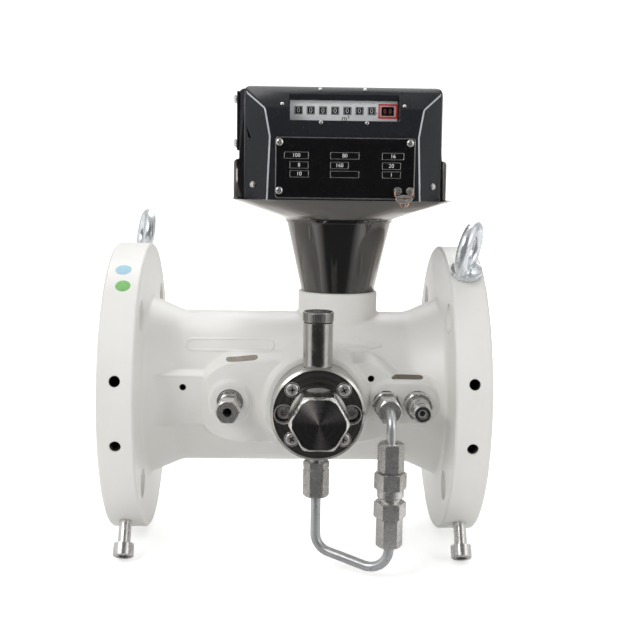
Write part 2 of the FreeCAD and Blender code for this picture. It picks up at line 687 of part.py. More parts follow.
def gear_bridge():
    """Small plate on two posts that carries the upper ends of both gear shafts."""
    low = d.spur_height + d.spur_face + 0.5
    plate = cylinder("bridge_plate", d.cavity_radius - 5.2, 1.2, (d.index_x, 0, low))
    posts = [cylinder("bridge_post", 1.8, low - d.cavity_floor + 0.5, (d.index_x + side * 13.0, -4.0,
                                                                      d.cavity_floor)) for side in (-1, 1)]
    solid = fuse("bridge_solid", [plate] + posts)
    hole = d.wheel_shaft_radius + d.running_gap
    holes = [cylinder("bridge_hole", hole, 4.0, (d.index_x, y, low - 1)) for y in (0, GEAR_OFFSET)]
    return cut("gear_bridge", solid, holes)


def coupling_shaft():
    return turned("coupling_shaft", rod_outline(d.wheel_shaft_radius, d.cavity_floor - 3.3,
                                                MAGNET_LOW + d.magnet_height - 0.2), (d.index_x, 0, 0))


MAGNET_LOW = d.spur_height + d.spur_face + 2.2
SEAT = d.tower_top + d.running_gap


def transfer_gear():
    shape = gear_shape(d.gear_teeth, d.spur_module, d.spur_face, d.wheel_shaft_radius, 90.0)
    return feature("transfer_gear", shape, (d.index_x, 0, d.spur_height))


def magnet(label, low, bore):
    return turned(label, tube_outline(d.magnet_radius, bore, low, low + d.magnet_height, 0.5),
                  (d.index_x, 0, 0))


def separating_dome():
    floor, wall = d.cavity_floor, d.dome_wall
    inner = d.cavity_radius - 4.4
    top = MAGNET_LOW + d.magnet_height + 1.7
    return turned("separating_dome", [
        (inner, floor), (d.cavity_radius - 0.2, floor), (d.cavity_radius - 0.2, floor + 2),
        (inner + wall, floor + 2), (inner + wall, top + wall), (0, top + wall), (0, top), (inner, top)],
        (d.index_x, 0, 0))


# ---------------------------------------------------------------- index head
IX = float(d.index_x)
LAYSHAFT_Y = 0 - d.index_worm_radius - INDEX_WHEEL_RADIUS
PLATE_BACK = 0 - d.axle_y + d.roller_radius + 0.3
FIRST_ROLLER = -28.1
ROLLER_SPOTS = [d.roller_pitch * i + FIRST_ROLLER for i in range(7)]
ROLLER_SPOTS += [d.roller_pitch * 6 + FIRST_ROLLER + 8.3, d.roller_pitch * 6 + FIRST_ROLLER + 8.3 + d.fine_roller_pitch]


def inset(points, amount):
    """Moves every side of a convex outline (listed anticlockwise) inwards by an amount."""
    moved = []
    count = len(points)
    for i in range(count):
        before, here, after = points[i - 1], points[i], points[(i + 1) % count]
        lines = []
        for p, q in ((before, here), (here, after)):
            length = math.hypot(q[0] - p[0], q[1] - p[1])
            nx, ny = (p[1] - q[1]) / length, (q[0] - p[0]) / length
            lines.append((nx, ny, nx * (p[0] + nx * amount) + ny * (p[1] + ny * amount)))
        (a, b, c), (e, f, g) = lines
        det = a * f - b * e
        moved.append(((c * f - b * g) / det, (a * g - c * e) / det))
    return moved


def prism_wire(points, z):
    corners = [Vector(IX + x, y, z) for x, y in points]
    return Part.makePolygon(corners + corners[:1])


def cover_plan(crease):
    side, chamfer = float(d.front_half_width), float(d.front_chamfer)
    front, seam = float(d.head_front), float(d.head_seam)
    return [(side, seam), (0 - side, seam), (0 - side, front + chamfer), (0 - crease, front),
            (crease, front), (side, front + chamfer)]


def cover_side():
    seam, front = float(d.head_seam), float(d.head_front)
    low, high = float(d.head_bottom), float(d.head_top)
    return [(seam, low), (seam, high), (float(d.brow_top_y), high), (float(d.brow_y), float(d.brow_z)),
            (front, float(d.face_break)), (front, low)]


def cover_block(amount, opening):
    """Solid of the front cover, every wall moved inwards by an amount; seam and floor left open."""
    low, high = float(d.head_bottom) - 5, float(d.head_top) + 5
    crease = float(d.front_half_width) - float(d.front_chamfer)
    plans = []
    for z, half in ((low, crease + 0.3), (high, crease - 3.0)):
        plans.append(prism_wire(inset(cover_plan(half), amount), z))
    block = Part.makeLoft(plans, True, True)
    if opening:
        block = block.fuse(block.translated(Vector(0, amount + 1, 0)))
    profile = inset(cover_side(), amount)
    if opening:
        seam, floor = float(d.head_seam) + 1, float(d.head_bottom) - 1
        profile = [(seam if y > float(d.head_seam) - amount - 0.01 else y,
                    floor if z < float(d.head_bottom) + amount + 0.01 else z) for y, z in profile]
    reach = 2 * float(d.front_half_width)
    corners = [Vector(IX - reach, y, z) for y, z in profile]
    side = Part.Face(Part.makePolygon(corners + corners[:1])).extrude(Vector(2 * reach, 0, 0))
    return block.common(side)


def front_cover():
    wall = float(d.head_wall)
    outside = feature("cover_outside", cover_block(0.0, False))
    inside = feature("cover_inside", cover_block(wall, True))
    shell = cut("cover_shell", outside, [inside])
    half, low = d.window_half_width, d.window_low
    recess = box("window_recess", (2 * half + 4, 14.0, 40.0),
                 (d.index_x - half - 2, d.window_floor + 2 - 14, low - 2))
    walled = fuse("cover_walled", [shell, common("recess_walls", recess, outside)])
    notch = box("window_notch", (2 * half, 30.0, 40.0), (d.index_x - half, d.window_floor - 30, low))
    opening = box("window_opening", (2 * half, 6.0, d.window_glass_high - low),
                  (d.index_x - half, d.window_floor - 2, low))
    return cut("front_cover", walled, [notch, opening] + screw_holes("band_screw_hole", False))


def window_glass():
    half, low = d.window_half_width - 0.1, d.window_low + 0.1
    return box("window_glass", (2 * half, d.glass_thickness, d.window_glass_high - low - 0.1),
               (d.index_x - half, d.window_floor, low))


def head_box(label, half, low, high, front, back, corner):
    """Part of the rear housing: a block with rounded rear corners."""
    points = [(0 - half, front), (half, front), (half, back - corner), (half - corner, back, 0 - corner),
              (corner - half, back), (0 - half, back - corner, 0 - corner)]
    return padded(label, "XY_Plane", points, high - low, (d.index_x, 0, low))


def funnel_shape(shrink, low_extra=0.0):
    half = float(d.base_half_width) - shrink
    front, back = -50.0 + shrink, float(d.head_back) - shrink
    radius = float(d.cone_top_radius) - shrink
    circle = Part.Wire([Part.makeCircle(radius, Vector(IX, 0, float(d.cone_top) + 1.5 - low_extra))])
    corner = 9.0
    points = []
    for x, y, first in ((half, back, 0), (0 - half, back, 90), (0 - half, front, 180), (half, front, 270)):
        cx = x - math.copysign(corner, x)
        cy = y - math.copysign(corner, y)
        for step in (0, 45, 90):
            turn = math.radians(first + step)
            points.append(Vector(IX + cx + corner * math.cos(turn), cy + corner * math.sin(turn),
                                 float(d.head_bottom)))
    edges = []
    for i in range(4):
        a, b, c = points[3 * i:3 * i + 3]
        edges.append(Part.Arc(a, b, c).toShape())
        edges.append(Part.LineSegment(c, points[(3 * i + 3) % 12]).toShape())
    return Part.makeLoft([circle, Part.Wire(edges)], True, True)


def index_base():
    wall, seat = d.cone_wall, SEAT
    spigot = d.cavity_radius - d.running_gap
    bore = d.cavity_radius - 2.6
    column = turned("column", [
        (bore, 56.0), (spigot, 56.0), (spigot, seat), (d.cone_foot_radius, seat),
        (d.cone_top_radius, d.cone_top), (d.cone_top_radius + 1.0, d.cone_top),
        (d.cone_top_radius + 1.0, d.cone_top + 2.0), (d.cone_top_radius - wall, d.cone_top + 2.0),
        (d.cone_foot_radius - wall, seat + wall), (bore, seat + wall)], (d.index_x, 0, 0))
    funnel = cut("funnel", feature("funnel_outside", funnel_shape(0.0)),
                 [feature("funnel_inside", funnel_shape(float(wall), 0.02))])
    low, step, high = d.head_bottom, d.base_step, d.head_top
    lower = head_box("rear_lower", d.base_half_width, low, step, d.head_seam, d.head_back, d.head_corner)
    upper = head_box("rear_upper", d.rear_half_width, step - 1, high, d.head_seam, d.head_back, d.head_corner)
    thick = d.head_wall
    inner = head_box("rear_inner", d.rear_half_width - thick, low + thick, high - thick,
                     d.head_seam + thick, d.head_back - thick, d.head_corner - thick)
    mouth = box("rear_mouth", (2 * 57.0, 10.0, high - low - 2 * thick - 2),
                (d.index_x - 57.0, d.head_seam - 5, low + thick))
    rear = cut("rear_housing", fuse("rear_solid", [lower, upper]), [inner, mouth])
    floor_points = inset(cover_plan(float(d.front_half_width) - float(d.front_chamfer) + 0.2),
                         float(thick) + 0.35)
    floor_points = [(x, y + (4 if y > -20 else 0)) for x, y in floor_points]
    floor = feature("front_floor", Part.Face(prism_wire(floor_points, float(low))).extrude(
        Vector(0, 0, float(thick))))
    solid = fuse("base_solid", [column, funnel, rear, floor])
    hole = cylinder("index_shaft_hole", d.wheel_shaft_radius + d.running_gap, 8.0, (d.index_x, 0, low - 3))
    return cut("index_base", solid, [hole] + screw_holes("side_screw_hole", True))


def side_cover():
    sheet_metal = box("side_sheet", (1.6, 40.0, 38.0), (d.index_x - d.rear_half_width - 1.6, -10.0, 157.5))
    return cut("side_cover", sheet_metal, screw_holes("side_way", True))


def counter_frame():
    back = 0 - PLATE_BACK
    depth = PLATE_BACK - 6
    floor = d.head_bottom + d.head_wall
    height = d.counter_z + 6.5 - floor
    plates = [box("counter_upright", (1.2, depth, height), (d.index_x + x, back, floor))
              for x in (-33.4, 32.2, 40.4)]
    foot = box("counter_foot", (76.0, depth - 4, 1.5), (d.index_x - 33.4, back + 2, floor))
    axle = cylinder("roller_axle", d.axle_radius, 74.0, (d.index_x - 33.2, d.axle_y, d.counter_z), ALONG_X)
    solid = fuse("counter_solid", plates + [foot, axle])
    gap = d.running_gap
    holes = [cylinder("layshaft_hole", d.axle_radius + gap, 90.0,
                      (d.index_x - 42.0, LAYSHAFT_Y, d.layshaft_z), ALONG_X)]
    sleeve = cut("sleeve_hole", cylinder("sleeve_outside", 3.0 + gap, 4.0,
                                         (d.index_x + 31.0, d.axle_y, d.counter_z), ALONG_X),
                 [cylinder("sleeve_inside", d.axle_radius, 6.0,
                           (d.index_x + 30.0, d.axle_y, d.counter_z), ALONG_X)])
    return cut("counter_frame", solid, holes + [sleeve])


def counter_plate():
    thick = d.plate_thickness
    sheet_metal = box("counter_sheet", (2 * d.window_half_width - 1, thick, 15.0),
                      (d.index_x - d.window_half_width + 0.5, 0 - PLATE_BACK - thick, d.counter_z - 7.7))
    windows = []
    size = d.digit_window
    for x in ROLLER_SPOTS[:7]:
        windows.append(box("digit_window", (size, 4.0, size),
                           (d.index_x + x - size / 2, 1.0 - PLATE_BACK - 4.0, d.counter_z - size / 2)))
    fine = ROLLER_SPOTS[7] + d.fine_roller_pitch / 2
    windows.append(box("fine_window", (8.0, 4.0, 5.6),
                       (d.index_x + fine - 4.0, 1.0 - PLATE_BACK - 4.0, d.counter_z - 2.8)))
    return cut("counter_plate", sheet_metal, windows)


def index_worm_shaft():
    top = d.layshaft_z + 7
    rod = turned("index_rod", rod_outline(d.wheel_shaft_radius, UPPER_MAGNET, top), (d.index_x, 0, 0))
    worm = worm_shape(float(d.index_worm_radius), float(d.worm_module), 12.0, 1.5)
    thread = feature("index_worm", worm, (d.index_x, 0, d.layshaft_z), Rotation(Vector(0, 0, 1), -90))
    return fuse("index_worm_shaft", [rod, thread])


UPPER_MAGNET = d.tower_top + 1.5


def index_layshaft():
    teeth = float(d.index_wheel_teeth)
    bore = float(d.axle_radius) - 0.5
    spot = (d.index_x, LAYSHAFT_Y, d.layshaft_z)
    gear = gear_shape(teeth, d.worm_module, d.wheel_face, bore, 180.0 / teeth, 0 - float(d.wheel_face) / 2)
    wheel = feature("index_wheel", gear, spot, CYCLIC)
    rise = float(d.counter_z) - float(d.layshaft_z)
    direction = math.degrees(math.atan2(rise, float(d.axle_y) - float(LAYSHAFT_Y)))
    big = gear_shape(d.layshaft_gear_teeth, ROLLER_MODULE, 3.0, bore, direction, SPUR_START)
    spur = feature("index_spur", big, spot, CYCLIC)
    rod = turned("layshaft_rod", rod_outline(d.axle_radius, -34.4, 42.0), spot, ALONG_X)
    return fuse("index_layshaft", [rod, wheel, spur])


SPUR_START = 35.4
ROLLER_MODULE = 2 * math.hypot(float(LAYSHAFT_Y) - float(d.axle_y), float(d.counter_z) - float(d.layshaft_z)) / (
    float(d.layshaft_gear_teeth) + float(d.roller_gear_teeth))


def digit_roller(number):
    spot = ROLLER_SPOTS[number - 1]
    width = d.roller_width if number < 8 else d.fine_roller_width
    bore = d.axle_radius + d.running_gap
    label = "digit_roller_%d" % number
    centre = (d.index_x + spot, d.axle_y, d.counter_z)
    if number < 9:
        return turned(label, tube_outline(d.roller_radius, bore, 0 - width / 2, width / 2), centre, ALONG_X)
    disc = turned("fine_disc", tube_outline(d.roller_radius, bore, 0 - width / 2, width / 2), centre, ALONG_X)
    sleeve = turned("fine_sleeve", tube_outline(3.0, bore, 0, 38.6 - spot, 0.2), centre, ALONG_X)
    drop = float(d.layshaft_z) - float(d.counter_z)
    back = math.degrees(math.atan2(drop, float(LAYSHAFT_Y) - float(d.axle_y)))
    teeth = float(d.roller_gear_teeth)
    gear = gear_shape(teeth, ROLLER_MODULE, 3.0, 2.5, back + 180.0 / teeth, SPUR_START)
    wheel = feature("fine_gear", gear, (d.index_x, d.axle_y, d.counter_z), CYCLIC)
    return fuse(label, [disc, sleeve, wheel])


def screw_head(label, radius, height, shank, length, spot, turn, slot=0.0):
    """Low round-headed screw; local Z points out of the hole."""
    parts = [turned(label + "_head", [(0, 0 - length), (shank, 0 - length), (shank, 0), (radius, 0),
                                      (radius, height * 0.4), (radius * 0.7, height), (0, height)])]
    if slot:
        blades = [box(label + "_slot", (slot * 2, 0.9, height), (0 - slot, -0.45, height * 0.45)),
                  box(label + "_slot", (0.9, slot * 2, height), (-0.45, 0 - slot, height * 0.45))]
        return place(cut(label, parts[0], blades), spot, turn)
    return place(parts[0], spot, turn)


def cover_screw_places():
    """Head radius, head height, shank radius, length, spot and turn of each outer screw of the head."""
    places = []
    inward = d.front_chamfer * 0.4
    for side in (-1, 1):
        turn = Rotation(Vector(0, 0, 1), Vector(side, -1, 0))
        spot = (d.index_x + side * (d.front_half_width - inward),
                d.head_front + d.front_chamfer - inward, d.head_bottom + 9.0)
        places.append((2.2, 1.2, 1.2, 4.0, spot, turn))
    left = Rotation(Vector(0, 0, 1), Vector(-1, 0, 0))
    for z in (d.face_break - 3.3, d.head_top - 6.0):
        places.append((3.0, 2.2, 1.5, 6.0, (d.index_x - d.rear_half_width - 1.6, 0, z), left))
    return places


def screw_holes(label, side_screws):
    chosen = cover_screw_places()[2:] if side_screws else cover_screw_places()[:2]
    holes = []
    for head, height, shank, length, spot, turn in chosen:
        hole = cylinder(label, shank + 0.05, length + 2)
        out = turn.multVec(Vector(0, 0, 1))
        start = [spot[0] - out.x * length, spot[1] - out.y * length, spot[2]]
        holes.append(place(hole, start, turn))
    return holes


def cover_screws():
    screws = [screw_head("cover_screw", *values) for values in cover_screw_places()]
    return group("cover_screws", screws)


# ---------------------------------------------------------------- oil pump
PUMP_SPOT = (d.pump_x, 0 - d.pump_boss_face, 0)
BODY_LENGTH = d.pump_body_face - d.pump_boss_face
COVER_END = d.pump_cover_face - d.pump_boss_face
CAP_END = d.hex_cap_face - d.pump_boss_face
RESERVOIR = (d.pump_x - 0.2, d.reservoir_y)
COVER_SCREWS = [(a * float(d.cover_screw_x), b * float(d.cover_screw_z)) for a in (-1, 1) for b in (-1, 1)]


def pump_hole(label, radius, low, high, x=0.0, z=0.0):
    """Hole along the pump axis, measured from the housing boss outwards."""
    return cylinder(label, radius, high - low, (d.pump_x + x, 0 - d.pump_boss_face - low, z), ALONG_FRONT)


def pump_body():
    length = BODY_LENGTH
    bore = d.pump_bore_radius + d.running_gap
    edge = d.pump_radius - 0.6
    block = turned("pump_block", [
        (0, -8.0), (d.pump_pocket_radius - 0.2, -8.0), (d.pump_pocket_radius - 0.2, 0), (edge, 0),
        (d.pump_radius, 0.6), (d.pump_radius, length), (bore, length), (bore, -5.0), (0, -5.0)],
        PUMP_SPOT, ALONG_FRONT)
    x, y = RESERVOIR
    holes = [cylinder("reservoir_seat", d.reservoir_radius + 0.05, 10.0, (x, y, RESERVOIR_LOW)),
             cylinder("reservoir_thread", 6.0, 10.0, (x, y, RESERVOIR_LOW - 8)),
             cylinder("reservoir_duct", 1.5, 16.0, (x, y, RESERVOIR_LOW - 20)),
             cylinder("outlet_duct", 1.5, 20.0, (x, 0 - OUTLET_Y, -26.0)),
             cylinder("outlet_thread", 5.0, 8.0, (x, 0 - OUTLET_Y, -30.0))]
    for x_off, z_off in COVER_SCREWS:
        holes.append(pump_hole("cover_screw_thread", 2.0, length - 10, length + 1, x_off, z_off))
    for side in (-1, 1):
        offset = float(d.mount_screw_offset) * side
        holes.append(pump_hole("mount_screw_way", d.mount_thread_radius + 0.3, -1, length + 1, offset))
        holes.append(pump_hole("mount_screw_counterbore", 5.6, length - 6, length + 1, offset))
    return cut("pump_body", block, holes)


RESERVOIR_LOW = 27.5
OUTLET_Y = 78.0


def pump_cover():
    start, end = BODY_LENGTH, COVER_END
    edge = d.pump_radius - 1.6
    disc = turned("cover_disc", [
        (d.plunger_rod_radius + d.running_gap, start), (d.pump_radius, start), (d.pump_radius, end - 1.2),
        (edge, end), (d.cap_thread_radius, end), (d.cap_thread_radius, end + 11),
        (d.cap_thread_radius - 3, end + 11), (d.cap_thread_radius - 3, end - 0.5),
        (d.plunger_rod_radius + d.running_gap, end - 0.5)], PUMP_SPOT, ALONG_FRONT)
    holes = []
    for x_off, z_off in COVER_SCREWS:
        holes.append(pump_hole("cover_screw_way", 2.2, start - 1, end + 1, x_off, z_off))
    for side in (-1, 1):
        offset = float(d.mount_screw_offset) * side
        holes.append(pump_hole("cover_counterbore", 5.6, start - 1, end + 1, offset))
    return cut("pump_cover", disc, holes)


def pump_cover_screws():
    screws = []
    for x_off, z_off in COVER_SCREWS:
        spot = (d.pump_x + x_off, 0 - d.pump_cover_face, z_off)
        screws.append(screw_head("cover_screw", 4.0, 2.4, 1.9, 12.0, spot, ALONG_FRONT, 2.2))
    return group("pump_cover_screws", screws)


def socket_screw(label, radius, head_radius, head_height, key, length, spot, turn):
    """Cap screw with a hexagon socket; local Z points out, the head sits on height 0."""
    blank = turned(label + "_blank", [
        (0, 0 - length), (radius - 0.4, 0 - length), (radius, 0.4 - length), (radius, 0), (head_radius, 0),
        (head_radius, head_height - 0.5), (head_radius - 0.5, head_height), (0, head_height)])
    key_hole = hexagon(label + "_key", key, head_height * 0.6 + 1, (0, 0, head_height * 0.4))
    return place(cut(label, blank, [key_hole]), spot, turn)


def pump_mounting_screws():
    screws = []
    for side in (-1, 1):
        spot = (d.pump_x + side * d.mount_screw_offset, 0 - d.pump_body_face + 6, 0)
        screws.append(socket_screw("mount_screw", d.mount_thread_radius - 0.05, 4.25, 5.0, 4.0, 26.0, spot,
                                   ALONG_FRONT))
    return group("pump_mounting_screws", screws)


def pump_plunger():
    rod = d.plunger_rod_radius
    return turned("pump_plunger", [
        (0, 5.0), (d.pump_bore_radius - 0.4, 5.0), (d.pump_bore_radius, 5.4), (d.pump_bore_radius, 14.0),
        (rod, 14.0), (rod, 39.0), (7.0, 39.0), (7.0, 41.0), (6.0, 42.0), (0, 42.0)], PUMP_SPOT, ALONG_FRONT)


def cap_seal():
    """Flat ring that travels with the cap without turning."""
    return turned("pump_cap_seal", [
        (d.cap_thread_radius + 0.1, COVER_END), (d.hex_cap_collar, COVER_END),
        (d.hex_cap_collar, COVER_END + 1.2), (d.cap_thread_radius + 0.1, COVER_END + 1.2)],
        PUMP_SPOT, ALONG_FRONT)


def pump_hex_cap():
    """Closed nut: turned collar, hexagon with turned corners, smooth domed edge in front."""
    low, high = COVER_END + 1.2, CAP_END
    inner = d.cap_thread_radius + d.running_gap
    corner = 17.9
    shape = turned("cap_turned", [
        (inner, low), (corner, low), (corner, high - 2.2), (15.2, high), (0, high),
        (0, high - 4), (inner, high - 4)], PUMP_SPOT, ALONG_FRONT)
    blank = hexagon("cap_hexagon", d.hex_cap_flats, CAP_END - COVER_END - 4, (0, 0, 0))
    place(blank, (d.pump_x, 0 - d.pump_cover_face - 4, 0), ALONG_FRONT)
    collar = turned("cap_collar", [
        (inner, low), (d.hex_cap_collar, low), (d.hex_cap_collar, low + 3.4), (15.0, low + 6), (inner, low + 6)],
        PUMP_SPOT, ALONG_FRONT)
    return fuse("pump_hex_cap", [common("cap_flats", blank, shape), collar])


def reservoir_tube():
    x, y = RESERVOIR
    low, high = RESERVOIR_LOW, d.reservoir_top
    return turned("reservoir_tube", [
        (2.0, low - 7), (5.95, low - 7), (5.95, low), (d.reservoir_radius, low), (d.reservoir_radius, high),
        (d.reservoir_bore, high), (d.reservoir_bore, low + 2), (2.0, low + 2)], (x, y, 0))


def reservoir_seal():
    x, y = RESERVOIR
    high = d.reservoir_top
    return turned("reservoir_seal", [
        (d.reservoir_bore - 2, high), (d.reservoir_radius - 0.3, high), (d.reservoir_radius - 0.3, high + 0.8),
        (d.reservoir_bore - 2, high + 0.8)], (x, y, 0))


def reservoir_cap():
    x, y = RESERVOIR
    low, high = d.reservoir_top + 0.8, d.reservoir_cap_top
    inner = d.reservoir_bore - 2.1
    return turned("reservoir_cap", [
        (0, low - 5), (inner, low - 5), (inner, low), (d.reservoir_radius + 0.2, low),
        (d.reservoir_radius + 0.2, high - 0.6), (d.reservoir_radius - 0.4, high), (0, high)], (x, y, 0))


# ---------------------------------------------------------------- oil line
def bent_pipe(label, corners, bends, bore):
    """Pipe along straight runs joined by bends; corners are points, bends one radius per inner corner."""
    points = [Vector(*[float(c) for c in p]) for p in corners]
    edges = []
    start = points[0]
    for i in range(1, len(points) - 1):
        arrive = (points[i] - points[i - 1]).normalize()
        leave = (points[i + 1] - points[i]).normalize()
        half_turn = math.acos(max(-1.0, min(1.0, arrive.dot(leave)))) / 2
        back = bends[i - 1] * math.tan(half_turn)
        first, last = points[i] - arrive * back, points[i] + leave * back
        inward = (leave - arrive).normalize()
        reach = bends[i - 1] / math.cos(half_turn) - bends[i - 1]
        edges.append(Part.makeLine(start, first))
        edges.append(Part.Arc(first, points[i] + inward * reach, last).toShape())
        start = last
    edges.append(Part.makeLine(start, points[-1]))
    path = Part.Wire(edges)
    direction = (points[1] - points[0]).normalize()
    solids = []
    for radius in (float(d.pipe_radius), bore):
        ring = Part.Wire([Part.makeCircle(radius, points[0], direction)])
        solids.append(path.makePipeShell([ring], True, False))
    return feature(label, solids[0].cut(solids[1]))


def oil_line():
    x, y, cx, cy = RESERVOIR[0], 0 - OUTLET_Y, d.column_x, d.column_y
    low = d.line_low_z
    return bent_pipe("oil_line", [(x, y, -46.5), (x, y, low + 10.6), (cx, cy, low), (cx, cy, -71.5)],
                     [11.0, 13.0], 1.9)


def feed_line():
    cx, cy, z = d.column_x, d.column_y, d.fitting_z
    return bent_pipe("feed_line", [(cx, cy, -21.5), (cx, cy, z), (cx, -79.5, z)], [9.0], 1.9)


def union_nut(label, flats, length, spot, turn):
    """Nut that slides on the pipe; local Z runs from the pipe side to the fitting side."""
    corner = flats * (1 / math.sqrt(3))
    pipe = d.pipe_radius + d.running_gap
    blank = hexagon(label + "_hex", flats, length)
    envelope = turned(label + "_envelope", [
        (pipe, 0), (corner - 1.4, 0), (corner, 0.9), (corner, length - 0.9), (corner - 1.4, length),
        (NIPPLE, length), (NIPPLE, 7.0), (pipe, 5.0)])
    return place(common(label, blank, envelope), spot, turn)


NIPPLE = 5.1


def oil_union_nuts():
    x, cx, cy = RESERVOIR[0], d.column_x, d.column_y
    long = d.nut_length
    nuts = [union_nut("pump_nut", d.nut_flats, long, (x, 0 - OUTLET_Y, -53.8), UPRIGHT),
            union_nut("lower_nut", d.nut_flats, long, (cx, cy, -79.0), UPRIGHT),
            union_nut("upper_nut", d.nut_flats, long, (cx, cy, -15.0), DOWN),
            union_nut("feed_nut", d.nut_flats, 17.0, (cx, -86.0, d.fitting_z),
                      Rotation(Vector(1, 0, 0), -90))]
    return group("oil_union_nuts", nuts)


def nipple(label, low, high, spot, turn=UPRIGHT, bore=2.0):
    return turned(label, [(bore, low), (NIPPLE - 0.5, low), (NIPPLE - 0.1, low + 0.5), (NIPPLE - 0.1, high),
                          (bore, high)], spot, turn)


def pump_outlet_adaptor():
    spot = (RESERVOIR[0], 0 - OUTLET_Y, 0)
    low, high = -35.8, -31.5
    block = hex_nut("outlet_hex", d.nut_flats, high - low, 2.0, (spot[0], spot[1], low), UPRIGHT, 0.8)
    stem = nipple("outlet_stem", -46.0, -23.0, spot)
    return fuse("pump_outlet_adaptor", [block, stem])


BALL_RADIUS = 3.5
BALL_Z = -43.5


def check_valve_inlet_body():
    spot = (d.column_x, d.column_y, 0)
    low, high = -60.7, -50.9
    block = hex_nut("inlet_hex", d.valve_flats, high - low, 2.0, (spot[0], spot[1], low), UPRIGHT, 1.2)
    stem = nipple("inlet_nipple", -71.0, low + 0.5, spot)
    neck = turned("inlet_neck", [
        (2.0, high - 0.5), (6.5, high - 0.5), (6.5, -48.4), (6.0, -48.4), (6.0, -46.4), (2.0, -46.4)], spot)
    return fuse("check_valve_inlet_body", [block, stem, neck])


def check_valve_outlet_body():
    spot = (d.column_x, d.column_y, 0)
    chamber = BALL_RADIUS + d.running_gap
    block = hex_nut("outlet_body_hex", d.valve_flats, 10.2, 2.0, (spot[0], spot[1], -43.3), UPRIGHT, 1.2)
    collar = turned("outlet_collar", [
        (2.0, -48.4), (7.6, -48.4), (8.2, -47.8), (8.2, -43.6), (7.6, -43.0), (2.0, -43.0)], spot)
    stem = nipple("outlet_nipple", -33.2, -22.0, spot)
    solid = fuse("outlet_body_solid", [block, collar, stem])
    socket = cylinder("outlet_socket", 6.05, 2.0, (spot[0], spot[1], -48.4))
    room = cylinder("ball_room", chamber, 46.4 - 34.8, (spot[0], spot[1], -46.4))
    return cut("check_valve_outlet_body", solid, [socket, room])


def check_valve_ball():
    ball = add("Part::Sphere", "check_valve_ball", Radius=BALL_RADIUS)
    return place(ball, (d.column_x, d.column_y, BALL_Z))


# ---------------------------------------------------------------- fittings on the housing
SEAT_FACE = d.boss_face - d.fitting_seat_depth


def stem_outline(bore, end):
    """Screwed-in stem and round shoulder; local Z starts on the seat, pointing out."""
    return [(bore, -6.5), (4.95, -6.5), (4.95, 0), (7.8, 0), (7.8, end), (bore, end)]


def feed_adaptor():
    spot = (d.feed_x, 0 - SEAT_FACE, d.fitting_z)
    stem = turned("feed_stem", stem_outline(2.0, 8.0), spot, ALONG_FRONT)
    block = hex_nut("feed_hex", d.fitting_flats, 5.6, 2.0, (d.feed_x, 0 - SEAT_FACE - 8, d.fitting_z),
                    ALONG_FRONT, 1.0)
    tip = nipple("feed_nipple", -24.0, -13.0, spot, Rotation(Vector(1, 0, 0), -90))
    return fuse("feed_adaptor", [stem, block, tip])


def quick_coupling_body():
    spot = (d.coupling_x, 0 - SEAT_FACE, d.fitting_z)
    stem = turned("coupling_stem", stem_outline(3.0, 7.0), spot, ALONG_FRONT)
    block = hex_nut("coupling_hex", d.fitting_flats, 8.0, 3.0, (d.coupling_x, 0 - SEAT_FACE - 7, d.fitting_z),
                    ALONG_FRONT, 1.2)
    barrel = turned("coupling_barrel", [
        (3.0, 14.5), (6.6, 14.5), (6.6, 19.0), (5.75, 20.0), (5.75, 29.0), (4.9, 29.4), (4.9, 31.2), (5.75, 31.6),
        (5.75, 34.2), (5.0, 35.0), (3.0, 35.0)], spot, ALONG_FRONT)
    return fuse("quick_coupling_body", [stem, block, barrel])


def quick_coupling_poppet():
    spot = (d.coupling_x, 0 - SEAT_FACE, d.fitting_z)
    return turned("quick_coupling_poppet", rod_outline(3.0 - d.running_gap, 16.0, 32.5, 0.5), spot, ALONG_FRONT)


def test_point_fitting():
    spot = (d.test_x, 0 - SEAT_FACE, d.fitting_z)
    bore = 2.8
    stem = turned("test_stem", stem_outline(bore, 8.0), spot, ALONG_FRONT)
    block = hex_nut("test_hex", 13.0, 7.0, bore, (d.test_x, 0 - SEAT_FACE - 8, d.fitting_z), ALONG_FRONT, 1.0)
    neck = turned("test_neck", [(bore, 14.5), (5.4, 14.5), (5.4, 22.0), (bore, 22.0)], spot, ALONG_FRONT)
    nut = hex_nut("test_nut", 13.0, 13.0, bore, (d.test_x, 0 - SEAT_FACE - 21.5, d.fitting_z),
                  ALONG_FRONT, 1.0)
    return fuse("test_point_fitting", [stem, block, neck, nut])


# ---------------------------------------------------------------- lifting eyes and feet
def lifting_eyebolt(label, end, angle, twist):
    collar = d.eye_collar_radius
    stem = turned(label + "_stem", [
        (0, 0 - d.eye_engagement), (d.thread_radius - 0.5, 0 - d.eye_engagement),
        (d.thread_radius, 0.5 - d.eye_engagement), (d.thread_radius, 0), (collar, 0), (collar, 3.2),
        (6.0, 7.0, 5.0), (0, 7.0)])
    ring = add("Part::Torus", label + "_ring", Radius1=d.eye_ring_radius, Radius2=d.eye_section_radius)
    place(ring, (0, 0, d.eye_height), Rotation(Vector(1, 0, 0), 90))
    item = fuse(label, [stem, ring])
    place(item, ring_spot(d.flange_radius, angle, FLANGE_MIDDLES[end]))
    item.Placement.Rotation = outward(angle).multiply(Rotation(Vector(0, 0, 1), 90 + twist))
    return item


def lifting_eyebolts():
    return group("lifting_eyebolts", [lifting_eyebolt("inlet_eyebolt", "inlet", 180 - d.eye_angle, 22.0),
                                      lifting_eyebolt("outlet_eyebolt", "outlet", d.eye_angle, -8.0)])


